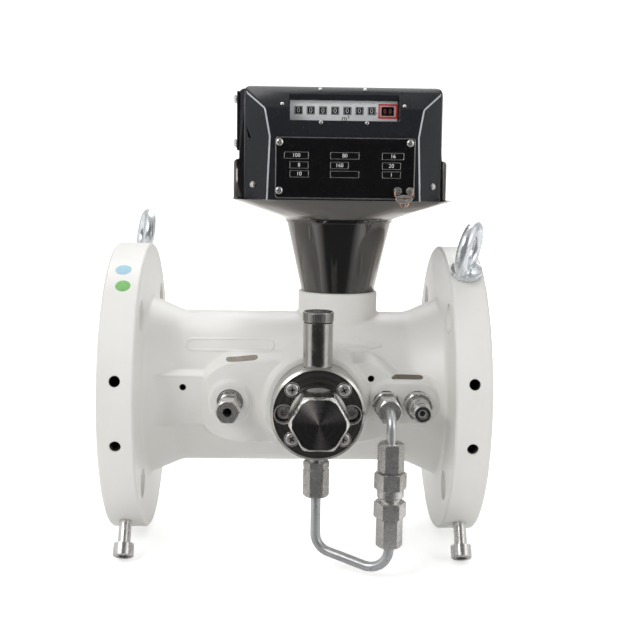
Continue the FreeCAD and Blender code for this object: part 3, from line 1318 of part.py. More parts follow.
def foot_screws():
    screws = []
    for end in ("inlet", "outlet"):
        for angle in (0 - d.foot_angle, d.foot_angle - 180):
            spot = ring_spot(d.flange_radius + d.foot_exposed, angle, FLANGE_MIDDLES[end])
            screws.append(socket_screw("foot_screw", d.thread_radius, d.foot_head_radius, d.foot_head_height,
                                       6.0, d.foot_engagement + d.foot_exposed, spot, outward(angle)))
    return group("foot_screws", screws)


# ---------------------------------------------------------------- build and export
def build_all():
    shaft = d.wheel_shaft_radius
    nodes = [
        meter_housing(), flow_straightener(), nose_cone(), measuring_cartridge(), tail_cone(),
        bearing_shells(), shaft_guide_tube(), gear_bridge(), separating_dome(),
        lifting_eyebolts(), foot_screws(),
        pump_body(), pump_cover(), pump_cover_screws(), pump_mounting_screws(), reservoir_tube(),
        pump_outlet_adaptor(), oil_line(), oil_union_nuts(), check_valve_inlet_body(),
        check_valve_outlet_body(), feed_line(), feed_adaptor(), quick_coupling_body(), test_point_fitting(),
        rotor_wheel(), rotor_shaft(), drive_worm(), bearing_inner_rings(), worm_wheel(), wheel_shaft(),
        coupling_shaft(), transfer_gear(), magnet("lower_magnet", MAGNET_LOW, shaft),
        index_base(), front_cover(), side_cover(), cover_screws(), window_glass(), counter_plate(),
        counter_frame(), magnet("upper_magnet", UPPER_MAGNET, shaft), index_worm_shaft(), index_layshaft()]
    nodes += [digit_roller(number) for number in range(1, 10)]
    nodes += [pump_plunger(), cap_seal(), pump_hex_cap(), reservoir_seal(), reservoir_cap(),
              check_valve_ball(), quick_coupling_poppet()]
    return nodes


nodes = build_all()
doc.recompute()
for item in doc.Objects:
    faults = [state for state in item.State if "Invalid" in state or "Error" in state]
    if faults:
        raise RuntimeError("%s did not build: %s" % (item.Label, ", ".join(item.State)))
os.makedirs("parts", exist_ok=True)
for item in nodes:
    if item.Shape.isNull() or not item.Shape.isValid() or item.Shape.Volume <= 0:
        raise RuntimeError("%s has no valid solid" % item.Label)
    item.Shape.exportStep("parts/%s.step" % item.Label)
    box_of = item.Shape.BoundBox
    print("%-26s solids %d volume %.0f  X %.1f %.1f  Y %.1f %.1f  Z %.1f %.1f" % (
        item.Label, len(item.Shape.Solids), item.Shape.Volume, box_of.XMin, box_of.XMax,
        box_of.YMin, box_of.YMax, box_of.ZMin, box_of.ZMax))
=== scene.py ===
import bpy
import bmesh
import math
from mathutils import Matrix, Vector


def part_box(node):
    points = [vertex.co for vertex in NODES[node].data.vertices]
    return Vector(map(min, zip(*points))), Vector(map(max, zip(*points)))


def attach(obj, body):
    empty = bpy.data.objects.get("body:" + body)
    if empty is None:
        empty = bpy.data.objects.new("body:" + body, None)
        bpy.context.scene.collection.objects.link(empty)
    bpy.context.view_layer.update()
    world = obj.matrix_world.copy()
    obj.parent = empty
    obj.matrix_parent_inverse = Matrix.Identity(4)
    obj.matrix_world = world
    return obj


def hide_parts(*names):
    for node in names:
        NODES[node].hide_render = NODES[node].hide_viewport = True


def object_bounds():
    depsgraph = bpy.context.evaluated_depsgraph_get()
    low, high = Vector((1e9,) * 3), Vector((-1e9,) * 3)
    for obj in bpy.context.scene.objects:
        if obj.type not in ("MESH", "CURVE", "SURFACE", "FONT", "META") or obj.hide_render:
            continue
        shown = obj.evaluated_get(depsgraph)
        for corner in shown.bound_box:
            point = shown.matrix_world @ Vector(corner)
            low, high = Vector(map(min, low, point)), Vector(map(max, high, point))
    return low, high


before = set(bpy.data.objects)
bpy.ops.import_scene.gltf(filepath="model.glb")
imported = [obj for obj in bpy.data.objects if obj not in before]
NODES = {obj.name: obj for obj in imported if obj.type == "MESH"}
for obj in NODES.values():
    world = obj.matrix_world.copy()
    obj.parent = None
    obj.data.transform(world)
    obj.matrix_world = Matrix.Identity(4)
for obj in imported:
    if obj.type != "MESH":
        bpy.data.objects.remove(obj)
CAD_BOX = [list(map(float, corner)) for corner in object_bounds()]
MM = 0.001

# Places and sizes of the CAD model, in millimetres.
HEAD_X = 148.6                          # axis of the index head and its tower
PUMP_X = 133.8                          # axis of the oil pump
COUPLING_X, BOSS_Z = 197.0, 0.6         # quick coupling, and height of the small bosses
FLANGES_X = (12.75, 227.25)             # middle planes of the flanges
RIM_R, BODY_R = 95.25, 50.3             # flange rim, and waist of the cast body
PLATE_Y, SCREW_Y = -56.0, -56.7         # front of the index cover, and of the nameplate on it
COUNTER_Y = -41.5                       # front of the plate behind the window
PUMP_COVER_Y, CAP_Y = -90.0, -117.0     # front of the pump's cover, and of its closed nut
AXLE_Y, AXLE_Z, ROLLER_R = -31.8, 182.2, 8.4                    # number wheels
ROLLERS = [-28.1 + 7.6 * i for i in range(7)] + [25.8, 29.2]    # their places from the head's axis
BLOCK = [(63.0, -17.0), (77.0, -25.6), (167.0, -25.6), (184.0, -17.0), (184.0, 16.0), (170.0, 25.6),
         (77.0, 25.6), (63.0, 16.0)]
BODY_HOLES = [(49.4, 8.6, 2.12), (168.0, 15.6, 2.12), (79.4, BOSS_Z, 8.22), (177.6, BOSS_Z, 8.22),
              (COUPLING_X, BOSS_Z, 8.22)]
COVER_SPOTS = [(-15.6, 15.1), (15.6, 15.1), (-15.6, -15.1), (15.6, -15.1)]
TO_FRONT = (0, -1, 0)


def add_object(name, data):
    """New object in the scene's own collection."""
    item = bpy.data.objects.new(name, data)
    bpy.context.scene.collection.objects.link(item)
    return item


# ------------------------------------------------------------ camera
def make_camera():
    yaw, pitch, roll = map(math.radians, (1.31, 7.57, 0.78))
    ahead = Vector((math.sin(yaw) * math.cos(pitch), math.cos(yaw) * math.cos(pitch), -math.sin(pitch)))
    level = Vector((math.cos(yaw), -math.sin(yaw), 0))
    above = level.cross(ahead)
    right = math.cos(roll) * level + math.sin(roll) * above
    up = math.cos(roll) * above - math.sin(roll) * level
    data = bpy.data.cameras.new("camera")
    data.sensor_width = 36.0
    data.lens = 62.72
    data.clip_start, data.clip_end = 0.05, 50
    cam = add_object("camera", data)
    turn = Matrix((right, up, -ahead)).transposed()
    cam.matrix_world = Matrix.Translation(Vector((113.7, -723.8, 147.6)) * MM) @ turn.to_4x4()
    bpy.context.scene.camera = cam


make_camera()


# ------------------------------------------------------------ materials
class Nodes:
    """Small helper round one node tree."""

    def __init__(self, tree):
        self.tree = tree

    def node(self, kind, **values):
        item = self.tree.nodes.new(kind)
        for key, value in values.items():
            if key in item.inputs:
                item.inputs[key].default_value = value
            else:
                setattr(item, key, value)
        return item

    def link(self, source, target):
        self.tree.links.new(source, target)

    def feed(self, targets, sources):
        """Puts each source, a number or a socket, into its target."""
        for target, source in zip(targets, sources):
            if isinstance(source, float):
                target.default_value = source
            else:
                self.link(source, target)

    def maths(self, operation, *sources):
        item = self.node("ShaderNodeMath", operation=operation)
        self.feed(item.inputs, sources)
        return item.outputs[0]

    def spread(self, source, *limits, kind="LINEAR"):
        """Maps a value from its own range, the first two limits, to the range of the other two."""
        item = self.node("ShaderNodeMapRange", interpolation_type=kind)
        keys = ("Value", "From Min", "From Max", "To Min", "To Max")
        self.feed([item.inputs[key] for key in keys], (source, *limits))
        return item.outputs["Result"]


class Paint(Nodes):
    """Small helper round one node material."""

    def __init__(self, name):
        self.mat = bpy.data.materials.new(name)
        self.mat.use_nodes = True
        super().__init__(self.mat.node_tree)
        self.shader = self.tree.nodes["Principled BSDF"]
        self.place = self.node("ShaderNodeTexCoord").outputs["Object"]

    def mapped(self, place, **values):
        item = self.node("ShaderNodeMapping", **values)
        self.link(place, item.inputs["Vector"])
        return item.outputs["Vector"]

    def noise(self, scale, detail=3.0, stretch=None):
        item = self.node("ShaderNodeTexNoise", Scale=scale, Detail=detail)
        place = self.mapped(self.place, Scale=stretch) if stretch else self.place
        self.link(place, item.inputs["Vector"])
        return item.outputs["Fac"]

    def tool_marks(self, place, scale, wobble):
        """Fine rings round the Y axis."""
        item = self.node("ShaderNodeTexWave", Scale=scale, Distortion=wobble, wave_type="RINGS",
                         rings_direction="Y")
        self.link(place, item.inputs["Vector"])
        return item.outputs["Fac"]

    def ramp(self, source, stops):
        item = self.node("ShaderNodeValToRGB")
        elements = item.color_ramp.elements
        while len(elements) < len(stops):
            elements.new(0.5)
        for element, (place, colour) in zip(elements, stops):
            element.position = place
            if not isinstance(colour, tuple):
                colour = (colour, colour, colour)
            element.color = colour + (1.0,)
        self.link(source, item.inputs["Fac"])
        return item.outputs["Color"]

    def bump(self, source, strength, distance, after=None):
        item = self.node("ShaderNodeBump", Strength=strength, Distance=distance)
        self.link(source, item.inputs["Height"])
        if after is not None:
            self.link(after, item.inputs["Normal"])
        return item.outputs["Normal"]

    def soft_edges(self, radius):
        return self.node("ShaderNodeBevel", Radius=radius, samples=4).outputs["Normal"]

    def set(self, **values):
        for key, value in values.items():
            self.shader.inputs[key.replace("_", " ")].default_value = value

    def colour(self, socket):
        self.link(socket, self.shader.inputs["Base Color"])

    def rough(self, socket):
        self.link(socket, self.shader.inputs["Roughness"])

    def normal(self, socket):
        self.link(socket, self.shader.inputs["Normal"])


PUMP_AXIS = (-PUMP_X * MM, 0.0, 0.0)


def housing_paint():
    p = Paint("housing_paint")
    p.set(Specular_IOR_Level=0.5, Coat_Weight=0.12, Coat_Roughness=0.25)
    p.colour(p.ramp(p.noise(14.0, 4.0), [(0.3, (0.81, 0.80, 0.765)), (0.75, (0.87, 0.862, 0.832))]))
    p.rough(p.ramp(p.noise(60.0, 3.0), [(0.3, 0.34), (0.75, 0.46)]))
    edges = p.soft_edges(0.0012)
    coarse = p.bump(p.noise(160.0, 2.0), 0.10, 0.0012, edges)
    p.normal(p.bump(p.noise(900.0, 2.0), 0.10, 0.0003, coarse))
    return p.mat


def black_gloss(name, rough_low, rough_high, specks, shine, coat, base):
    p = Paint(name)
    p.set(Specular_IOR_Level=shine, Coat_Weight=coat, Coat_Roughness=0.06, Coat_Tint=(1.0, 0.93, 0.86, 1.0))
    dust = p.noise(1500.0, 1.0)
    p.colour(p.ramp(dust, [(0.0, base), (0.72, tuple(c * 1.3 for c in base)),
                           (0.80, (specks, specks, specks * 1.05))]))
    p.rough(p.ramp(p.noise(45.0, 4.0), [(0.3, rough_low), (0.75, rough_high)]))
    edges = p.soft_edges(0.0008)
    p.normal(p.bump(p.noise(700.0, 2.0), 0.06, 0.0004, edges))
    return p.mat


def metal(name, colour, rough_low, rough_high, grain=None, bump=0.05, share=1.0):
    p = Paint(name)
    p.set(Metallic=share)
    dark = tuple(c * 0.86 for c in colour)
    p.colour(p.ramp(p.noise(90.0, 4.0, grain), [(0.3, dark), (0.7, colour)]))
    p.rough(p.ramp(p.noise(240.0, 3.0, grain), [(0.3, rough_low), (0.7, rough_high)]))
    p.normal(p.bump(p.noise(1400.0, 2.0, grain), bump, 0.0002, p.soft_edges(0.0003)))
    return p.mat


def turned_nickel():
    """Nickel with fine tool marks round the pump's axis."""
    p = Paint("nickel_turned")
    p.set(Metallic=1.0)
    marks = p.tool_marks(p.mapped(p.place, Location=PUMP_AXIS), 1 / (20 * 0.6 * MM), 0.6)
    colour = (0.50, 0.485, 0.46)
    p.colour(p.ramp(p.noise(60.0, 4.0), [(0.3, tuple(c * 0.8 for c in colour)), (0.7, colour)]))
    p.rough(p.ramp(marks, [(0.2, 0.16), (0.8, 0.26)]))
    p.normal(p.bump(marks, 0.10, 0.00008, p.soft_edges(0.0004)))
    return p.mat


def brushed_face():
    """Turned nickel whose colour carries a painted sheen: pale and dark bands fan out from the pump's axis in
    place of reflections.
    """
    p = Paint("nickel_with_painted_sheen")
    p.set(Metallic=0.45)
    place = p.mapped(p.place, Location=PUMP_AXIS)
    sheen_fan = p.node("ShaderNodeTexGradient", gradient_type="RADIAL")
    p.link(p.mapped(place, Rotation=(math.radians(90), 0, 0)), sheen_fan.inputs["Vector"])
    dark, mid, pale = (0.022, 0.021, 0.023), (0.075, 0.070, 0.070), (0.30, 0.28, 0.27)
    # painted sheen: the fan of bands in the colour stands in for reflections
    p.colour(p.ramp(sheen_fan.outputs["Color"], [
        (0.0, dark), (0.10, mid), (0.17, pale), (0.235, mid), (0.30, dark), (0.42, mid), (0.50, dark),
        (0.66, dark), (0.74, mid), (0.80, dark), (0.93, dark), (1.0, dark)]))
    marks = p.tool_marks(place, 90.0, 0.4)
    p.rough(p.ramp(marks, [(0.2, 0.26), (0.8, 0.36)]))
    p.normal(p.bump(marks, 0.08, 0.00006))
    return p.mat


def plain(name, colour, rough, metallic=0.0, grain=400.0, bump=0.08):
    p = Paint(name)
    p.set(Metallic=metallic)
    dark = tuple(c * 0.85 for c in colour)
    p.colour(p.ramp(p.noise(grain * 0.2), [(0.3, dark), (0.7, colour)]))
    p.rough(p.ramp(p.noise(grain * 0.5), [(0.3, rough - 0.06), (0.7, rough + 0.06)]))
    p.normal(p.bump(p.noise(grain, 2.0), bump, 0.0003))
    return p.mat


def glass():
    p = Paint("window_glass")
    p.set(Base_Color=(0.95, 0.97, 0.97, 1), Transmission_Weight=1.0, IOR=1.45, Alpha=0.10)
    p.rough(p.ramp(p.noise(300.0), [(0.3, 0.03), (0.7, 0.06)]))
    return p.mat


MATS = {
    "housing": housing_paint(),
    "head_front": black_gloss("head_front_black", 0.20, 0.32, 0.07, 0.18, 0.05, (0.015, 0.016, 0.019)),
    "head_base": black_gloss("head_base_black", 0.07, 0.13, 0.02, 1.0, 0.8, (0.010, 0.0105, 0.012)),
    # pale paint for the folds of the front cover: a painted highlight
    "fold_highlight": plain("painted_fold_highlight", (0.52, 0.53, 0.56), 0.20, grain=300.0, bump=0.05),
    "nickel": turned_nickel(),
    # cap face: nickel with a painted sheen in its colour
    "cap_face": brushed_face(),
    "nickel_plain": metal("nickel_plain", (0.46, 0.45, 0.43), 0.16, 0.28),
    "bright_nickel": metal("bright_nickel", (0.74, 0.72, 0.69), 0.22, 0.34, share=0.7),
    "zinc": metal("zinc_plate", (0.80, 0.83, 0.86), 0.20, 0.30, bump=0.03, share=0.72),
    "zinc_pipe": metal("zinc_pipe", (0.62, 0.63, 0.64), 0.26, 0.40, share=0.7),
    "steel": metal("steel_fittings", (0.64, 0.63, 0.61), 0.20, 0.32, share=0.82),
    "dark_thread": metal("dark_thread_metal", (0.07, 0.06, 0.055), 0.45, 0.65, bump=0.1),
    "stamped": metal("stamped_bare_metal", (0.30, 0.27, 0.22), 0.40, 0.60, (4.0, 1.0, 1.0), 0.6),
    "alloy": metal("alloy_machined", (0.72, 0.73, 0.74), 0.26, 0.40),
    "brass": metal("brass_gears", (0.72, 0.53, 0.25), 0.22, 0.36),
    "lead": metal("lead_seal", (0.50, 0.50, 0.50), 0.45, 0.60, bump=0.25),
    "copper_wire": metal("copper_wire", (0.70, 0.42, 0.28), 0.25, 0.40),
    "plate_silver": metal("plate_silver", (0.72, 0.71, 0.69), 0.30, 0.42),
    "plate_black": plain("plate_black", (0.006, 0.006, 0.007), 0.22, grain=900.0, bump=0.03),
    "plate_grey": plain("counter_plate_grey", (0.93, 0.94, 0.95), 0.40),
    "black_plastic": plain("roller_black", (0.015, 0.015, 0.016), 0.42),
    # black rubber for the seals; also painted shade on the screw crosses and in the poppet's mouth
    "rubber_and_painted_shade": plain("seal_rubber", (0.012, 0.012, 0.012), 0.62),
    "magnet": plain("magnet_dark", (0.06, 0.06, 0.065), 0.40, metallic=0.6),
    "glass": glass(),
}
PRINTS = {
    "print_white": ((0.80, 0.80, 0.79), 0.45),
    "print_black": ((0.02, 0.02, 0.02), 0.45),
    "print_red": ((0.85, 0.06, 0.05), 0.40),
    "print_red_digit": ((0.75, 0.12, 0.10), 0.45),
    "sticker_blue": ((0.33, 0.58, 0.72), 0.35),
    "sticker_green": ((0.22, 0.54, 0.16), 0.35),
}
for key, (colour, rough) in PRINTS.items():
    MATS[key] = plain(key, colour, rough, grain=2000.0, bump=0.02)
LOOK = {
    "housing": ["meter_housing"],
    "head_front": ["front_cover"],
    "head_base": ["index_base", "side_cover"],
    "nickel": ["pump_body", "pump_cover", "pump_hex_cap"],
    "nickel_plain": ["reservoir_tube", "reservoir_cap", "pump_cover_screws"],
    "bright_nickel": ["pump_mounting_screws"],
    "zinc": ["lifting_eyebolts"],
    "zinc_pipe": ["oil_line", "feed_line"],
    "steel": ["oil_union_nuts", "check_valve_inlet_body", "check_valve_outlet_body", "feed_adaptor",
              "pump_outlet_adaptor", "quick_coupling_body", "test_point_fitting", "cover_screws",
              "quick_coupling_poppet", "check_valve_ball", "rotor_shaft", "bearing_shells",
              "bearing_inner_rings", "drive_worm", "wheel_shaft", "coupling_shaft", "index_worm_shaft",
              "index_layshaft", "shaft_guide_tube", "separating_dome", "pump_plunger", "foot_screws"],
    "alloy": ["flow_straightener", "nose_cone", "measuring_cartridge", "tail_cone", "rotor_wheel",
              "counter_frame"],
    "brass": ["gear_bridge", "worm_wheel", "transfer_gear"],
    "plate_grey": ["counter_plate"],
    "black_plastic": ["digit_roller_%d" % i for i in range(1, 10)],
    "rubber_and_painted_shade": ["pump_cap_seal", "reservoir_seal"],
    "magnet": ["lower_magnet", "upper_magnet"],
    "glass": ["window_glass"],
}
for key, names in LOOK.items():
    for name in names:
        slots = NODES[name].data.materials
        slots.clear()
        slots.append(MATS[key])


# ------------------------------------------------------------ floor, backdrop and lights
def make_stage(floor_z):
    """White sweep. What metal sees of it is dark straight ahead of the object and bright at its sides."""
    bend_at, bend = 0.9, 1.2
    outline = [(-6.0, 0.0), (bend_at, 0.0)]
    for i in range(1, 13):
        turn = math.radians(7.5 * i)
        outline.append((bend_at + bend * math.sin(turn), bend - bend * math.cos(turn)))
    outline.append((bend_at + bend, 6.0))
    verts = [(x, y, z + floor_z) for y, z in outline for x in (-7.0, 7.0)]
    mesh = bpy.data.meshes.new("floor")
    mesh.from_pydata(verts, [], [(a, a + 1, a + 3, a + 2) for a in range(0, len(verts) - 2, 2)])
    for polygon in mesh.polygons:
        polygon.use_smooth = True
    floor = add_object("floor", mesh)
    p = Paint("floor_pale")
    p.set(Roughness=0.9, Specular_IOR_Level=0.1, Emission_Color=(1.0, 1.0, 1.0, 1.0))
    path = p.node("ShaderNodeLightPath")
    split = p.node("ShaderNodeSeparateXYZ")
    p.link(p.place, split.inputs[0])
    wide = p.maths("ABSOLUTE", p.maths("SUBTRACT", split.outputs["X"], 0.12))
    ahead = p.maths("MULTIPLY_ADD", split.outputs["Y"], 1.35, wide)
    shade = p.node("ShaderNodeMix", data_type="RGBA")
    p.link(path.outputs["Is Glossy Ray"], shade.inputs[0])
    p.link(p.ramp(p.noise(3.0), [(0.3, 0.90), (0.7, 0.93)]), shade.inputs[6])
    p.link(p.spread(ahead, -0.25, 0.0, 0.03, 1.0), shade.inputs[7])
    p.colour(shade.outputs[2])
    glow = p.maths("MULTIPLY", path.outputs["Is Camera Ray"], 0.50)
    p.link(glow, p.shader.inputs["Emission Strength"])
    mesh.materials.append(p.mat)


def area(name, spot, target, size, power):
    data = bpy.data.lights.new(name, "AREA")
    data.shape = "RECTANGLE"
    data.size, data.size_y = size
    data.energy = power
    way = Vector(target) - Vector(spot)
    turn = way.to_track_quat("-Z", "Y").to_matrix().to_4x4()
    add_object(name, data).matrix_world = Matrix.Translation(Vector(spot)) @ turn


def make_lights():
    """White for the camera, a shaded room for the metal, soft lamps and a dim room on the object itself."""
    world = bpy.data.worlds.new("studio")
    bpy.context.scene.world = world
    world.use_nodes = True
    sky = Nodes(world.node_tree)
    path = sky.node("ShaderNodeLightPath")
    split = sky.node("ShaderNodeSeparateXYZ")
    sky.link(sky.node("ShaderNodeTexCoord").outputs["Generated"], split.inputs[0])
    depth, height = split.outputs["Y"], split.outputs["Z"]
    sheen = sky.maths("MULTIPLY", sky.spread(depth, -0.66, -0.40, 0.03, 1.0, kind="SMOOTHSTEP"),
                      sky.spread(height, 0.70, 0.95, 1.0, 0.35, kind="SMOOTHSTEP"))
    soft = sky.spread(depth, -0.9, -0.3, 0.30, 0.55, kind="SMOOTHSTEP")
    seen = sky.spread(path.outputs["Is Glossy Ray"], 0.0, 1.0, soft, sheen)
    background = sky.tree.nodes["Background"]
    background.inputs["Color"].default_value = (1.0, 1.0, 1.0, 1.0)
    strength = sky.spread(path.outputs["Is Camera Ray"], 0.0, 1.0, seen, 1.0)
    sky.link(strength, background.inputs["Strength"])
    area("key", (-0.95, -1.15, 1.15), (0.12, 0, 0.02), (0.9, 0.9), 12.5)
    area("fill", (1.45, -1.05, 0.55), (0.12, 0, 0.02), (0.8, 1.0), 5.5)
    area("top", (0.12, 0.55, 1.50), (0.12, 0, 0), (1.2, 0.7), 9.0)
    area("back", (0.35, 1.1, 1.0), (0.12, 0, 0.1), (1.0, 0.7), 5.0)


make_stage(CAD_BOX[0][2])
make_lights()
bpy.context.scene.view_settings.view_transform = "Standard"


# ------------------------------------------------------------ mesh helpers
def finish_piece(name, bm, material, body, smooth=True):
    """Turns a bmesh in millimetres into a piece that rides on a body."""
    bmesh.ops.remove_doubles(bm, verts=bm.verts, dist=0.0005)
    bmesh.ops.recalc_face_normals(bm, faces=bm.faces)
    bmesh.ops.scale(bm, vec=(MM, MM, MM), verts=bm.verts)
    mesh = bpy.data.meshes.new(name)
    bm.to_mesh(mesh)
    bm.free()
    mesh.materials.append(material)
    if smooth:
        smooth_by_angle(mesh, 35)
    piece = add_object(name, mesh)
    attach(piece, body)
    return piece


def smooth_by_angle(mesh, degrees):
    for polygon in mesh.polygons:
        polygon.use_smooth = True
    mesh.set_sharp_from_angle(angle=math.radians(degrees))


def frame_at(spot, ahead, up=(0, 0, 1)):
    """Local Z along ahead, local Y as near to up as it can be; millimetres."""
    z = Vector(ahead).normalized()
    y = Vector(up) - Vector(up).dot(z) * z
    y = y.normalized() if y.length > 1e-6 else z.orthogonal().normalized()
    x = y.cross(z)
    return Matrix.Translation(Vector(spot)) @ Matrix((x, y, z)).transposed().to_4x4()


def around(count):
    """Evenly spaced angles round a full circle."""
    return [2 * math.pi * i / count for i in range(count)]


def pairs(items, closed=False):
    """Neighbours in a list, the last one with the first where it is closed."""
    return list(zip(items, items[1:])) + ([(items[-1], items[0])] if closed else [])


def headings(points, closed=False):
    """Direction of a path at each of its points."""
    first, last = (points[-1], points[0]) if closed else (points[0], points[-1])
    ends = zip([first, *points[:-1]], [*points[1:], last])
    return [(after - before).normalized() for before, after in ends]


def bridge(bm, rows, rings=True, closed=False):
    """Faces between neighbouring rows; rings closes each row, closed joins the last row to the first."""
    for a, b in pairs(rows, closed):
        for (p, q), (s, r) in zip(pairs(a, rings), pairs(b, rings)):
            bm.faces.new((p, q, r, s))


def revolve(bm, profile, steps, point):
    """Turns (radius, height) points through a full circle; point(radius, turn, height) gives each place."""
    rings = []
    for radius, height in profile:
        turns = around(steps) if radius > 1e-6 else [0.0]
        rings.append([bm.verts.new(point(radius, turn, height)) for turn in turns])
    for a, b in pairs(rings):
        for i, j in pairs(range(steps), closed=True):
            corners = (a[i % len(a)], a[j % len(a)], b[j % len(b)], b[i % len(b)])
            bm.faces.new(list(dict.fromkeys(corners)))


def lathe(bm, profile, place, steps=48):
    """Turned shape: (radius, height) points round local Z."""
    revolve(bm, profile, steps,
            lambda r, turn, z: place @ Vector((r * math.cos(turn), r * math.sin(turn), z)))


def flat_ring(bm, outline, place, height):
    return [bm.verts.new(place @ Vector((x, y, height))) for x, y in outline]


def slab(bm, outline, place, low, high, edge=0.0):
    """Solid plate from a flat outline, its front edge broken by a small chamfer."""
    rings = [flat_ring(bm, outline, place, low), flat_ring(bm, outline, place, high - edge)]
    if edge:
        rings.append(flat_ring(bm, inset_outline(outline, edge), place, high))
    bm.faces.new(rings[0][::-1])
    bm.faces.new(rings[-1])
    bridge(bm, rings)


def inset_outline(points, amount):
    """Moves every side of a convex anticlockwise outline inwards."""
    moved = []
    count = len(points)
    for i in range(count):
        before, here, after = Vector(points[i - 1]), Vector(points[i]), Vector(points[(i + 1) % count])
        one = (here - before).normalized()
        two = (after - here).normalized()
        normal = Vector((-one.y - two.y, one.x + two.x))
        scale = amount / max(0.2, 1 + one.dot(two)) if normal.length > 1e-9 else 0
        moved.append((here.x + normal.x * scale, here.y + normal.y * scale))
    return moved


def round_rect(cx, cy, half_x, half_y, corner, steps=5):
    points = []
    for sx, sy, first in ((1, -1, 270), (1, 1, 0), (-1, 1, 90), (-1, -1, 180)):
        for i in range(steps + 1):
            turn = math.radians(first + 90.0 * i / steps)
            points.append((cx + sx * (half_x - corner) + corner * math.cos(turn),
                           cy + sy * (half_y - corner) + corner * math.sin(turn)))
    return points


def rim_frame(bm, outline, width, place, low, high):
    """Flat raised frame that follows an outline."""
    inner = inset_outline(outline, width)
    corners = ((outline, low), (outline, high), (inner, high), (inner, low))
    bridge(bm, [flat_ring(bm, points, place, height) for points, height in corners], closed=True)


def text_mesh(text, size, place, depth):
    """Plain text as a thin raised mesh; local Y is up and local Z comes out of the surface."""
    curve = bpy.data.curves.new("text", "FONT")
    curve.body = text
    curve.size = size * MM
    curve.extrude = depth * MM / 2
    curve.align_x = curve.align_y = "CENTER"
    curve.resolution_u = 3
    item = add_object("text", curve)
    bpy.context.view_layer.update()
    graph = bpy.context.evaluated_depsgraph_get()
    mesh = bpy.data.meshes.new_from_object(item.evaluated_get(graph))
    bpy.data.objects.remove(item)
    place = place.copy()
    place.translation = place.translation * MM
    mesh.transform(place)
    mesh.materials.clear()
    return mesh


def lettering(name, text, size, place, material, body):
    mesh = text_mesh(text, size, place, 0.05)
    mesh.materials.append(material)
    piece = add_object(name, mesh)
    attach(piece, body)


def pan_head(bm, place, radius, height):
    """Domed screw head."""
    profile = [(0, -0.4), (radius * 0.98, -0.4), (radius, 0.0), (radius, height * 0.35)]
    for i in range(1, 6):
        turn = math.radians(15.0 * i)
        profile.append((radius * math.cos(turn), height * (0.35 + 0.65 * math.sin(turn))))
    lathe(bm, profile + [(radius * 0.02, height), (0, height)], place, 32)


# ------------------------------------------------------------ nameplate
def make_nameplate():
    """Black plate with bare frames and plain numbers; on it, local X and Y are the frame's X and Z."""
    front = frame_at((0, PLATE_Y, 0), TO_FRONT)
    outline = round_rect(149.3, 146.7, 43.2, 19.0, 2.2)
    bm = bmesh.new()
    slab(bm, outline, front, 0.02, 0.75, 0.2)
    finish_piece("nameplate", bm, MATS["plate_black"], "index_head")
    bm = bmesh.new()
    rim_frame(bm, inset_outline(outline, 0.35), 0.55, front, 0.6, 0.84)
    # Each field: its left and right end, its height, the number's place and the number.
    fields = [(111.8, 126.9, 154.3, 119.3, "100"), (140.0, 157.9, 154.3, 149.0, "80"),
              (171.8, 185.4, 154.3, 178.6, "16"), (115.2, 126.8, 148.4, 121.0, "8"),
              (140.1, 151.4, 148.4, 145.8, "160"), (171.9, 183.5, 148.4, 177.7, "20"),
              (115.3, 127.0, 143.0, 121.1, "10"), (140.2, 157.9, 143.0, 149.0, ""),
              (172.0, 183.6, 143.0, 177.8, "1")]
    for low, high, z, _, _ in fields:
        rim_frame(bm, round_rect((low + high) / 2, z, (high - low) / 2, 2.15, 0.3, 2), 0.38, front, 0.6, 0.80)
    finish_piece("nameplate_frames", bm, MATS["plate_silver"], "index_head", smooth=False)
    for i, (_, _, z, x, text) in enumerate(field for field in fields if field[-1]):
        spot = front @ Matrix.Translation((x, z, 0.79))
        lettering("plate_number_%d" % i, text, 3.3, spot, MATS["print_white"], "index_head")


def make_plate_screws():
    bm = bmesh.new()
    for x, z in ((109.0, 162.2), (189.0, 162.4), (108.9, 132.8)):
        pan_head(bm, frame_at((x, SCREW_Y, z), TO_FRONT), 2.3, 1.5)
    finish_piece("plate_screws", bm, MATS["steel"], "index_head")
    slope, wall = (0, -1, 1), (0, -17.4, 3.5)
    places = [((-14.8, -40.4, 195.1), slope), ((13.2, -40.3, 195.2), slope), ((-38.3, -50.2, 185.3), slope),
              ((36.9, -50.6, 184.9), slope), ((-14.4, -54.23, 174.4), wall), ((13.8, -54.25, 174.3), wall)]
    bm = bmesh.new()
    for (x, y, z), way in places:
        pan_head(bm, frame_at((HEAD_X + x, y, z), way), 1.25, 0.8)
    finish_piece("window_frame_screws", bm, MATS["steel"], "index_head")


def tube_mesh(bm, points, radius, sides=8):
    """Round wire through a list of points in millimetres."""
    rings = []
    side = (points[1] - points[0]).orthogonal()
    for point, way in zip(points, headings(points)):
        side = (side - side.dot(way) * way).normalized()
        other = way.cross(side)
        rings.append([bm.verts.new(point + (side * math.cos(turn) + other * math.sin(turn)) * radius)
                      for turn in around(sides)])
    bridge(bm, rings)
    bm.faces.new(rings[0][::-1])
    bm.faces.new(rings[-1])


def smooth_path(points, rounds=3, closed=False):
    """Corner cutting that turns a coarse route into a smooth one."""
    path = [Vector(p) for p in points]
    for _ in range(rounds):
        fresh = [p for a, b in pairs(path, closed) for p in (a * 0.75 + b * 0.25, a * 0.25 + b * 0.75)]
        path = fresh if closed else [path[0], *fresh, path[-1]]
    return path


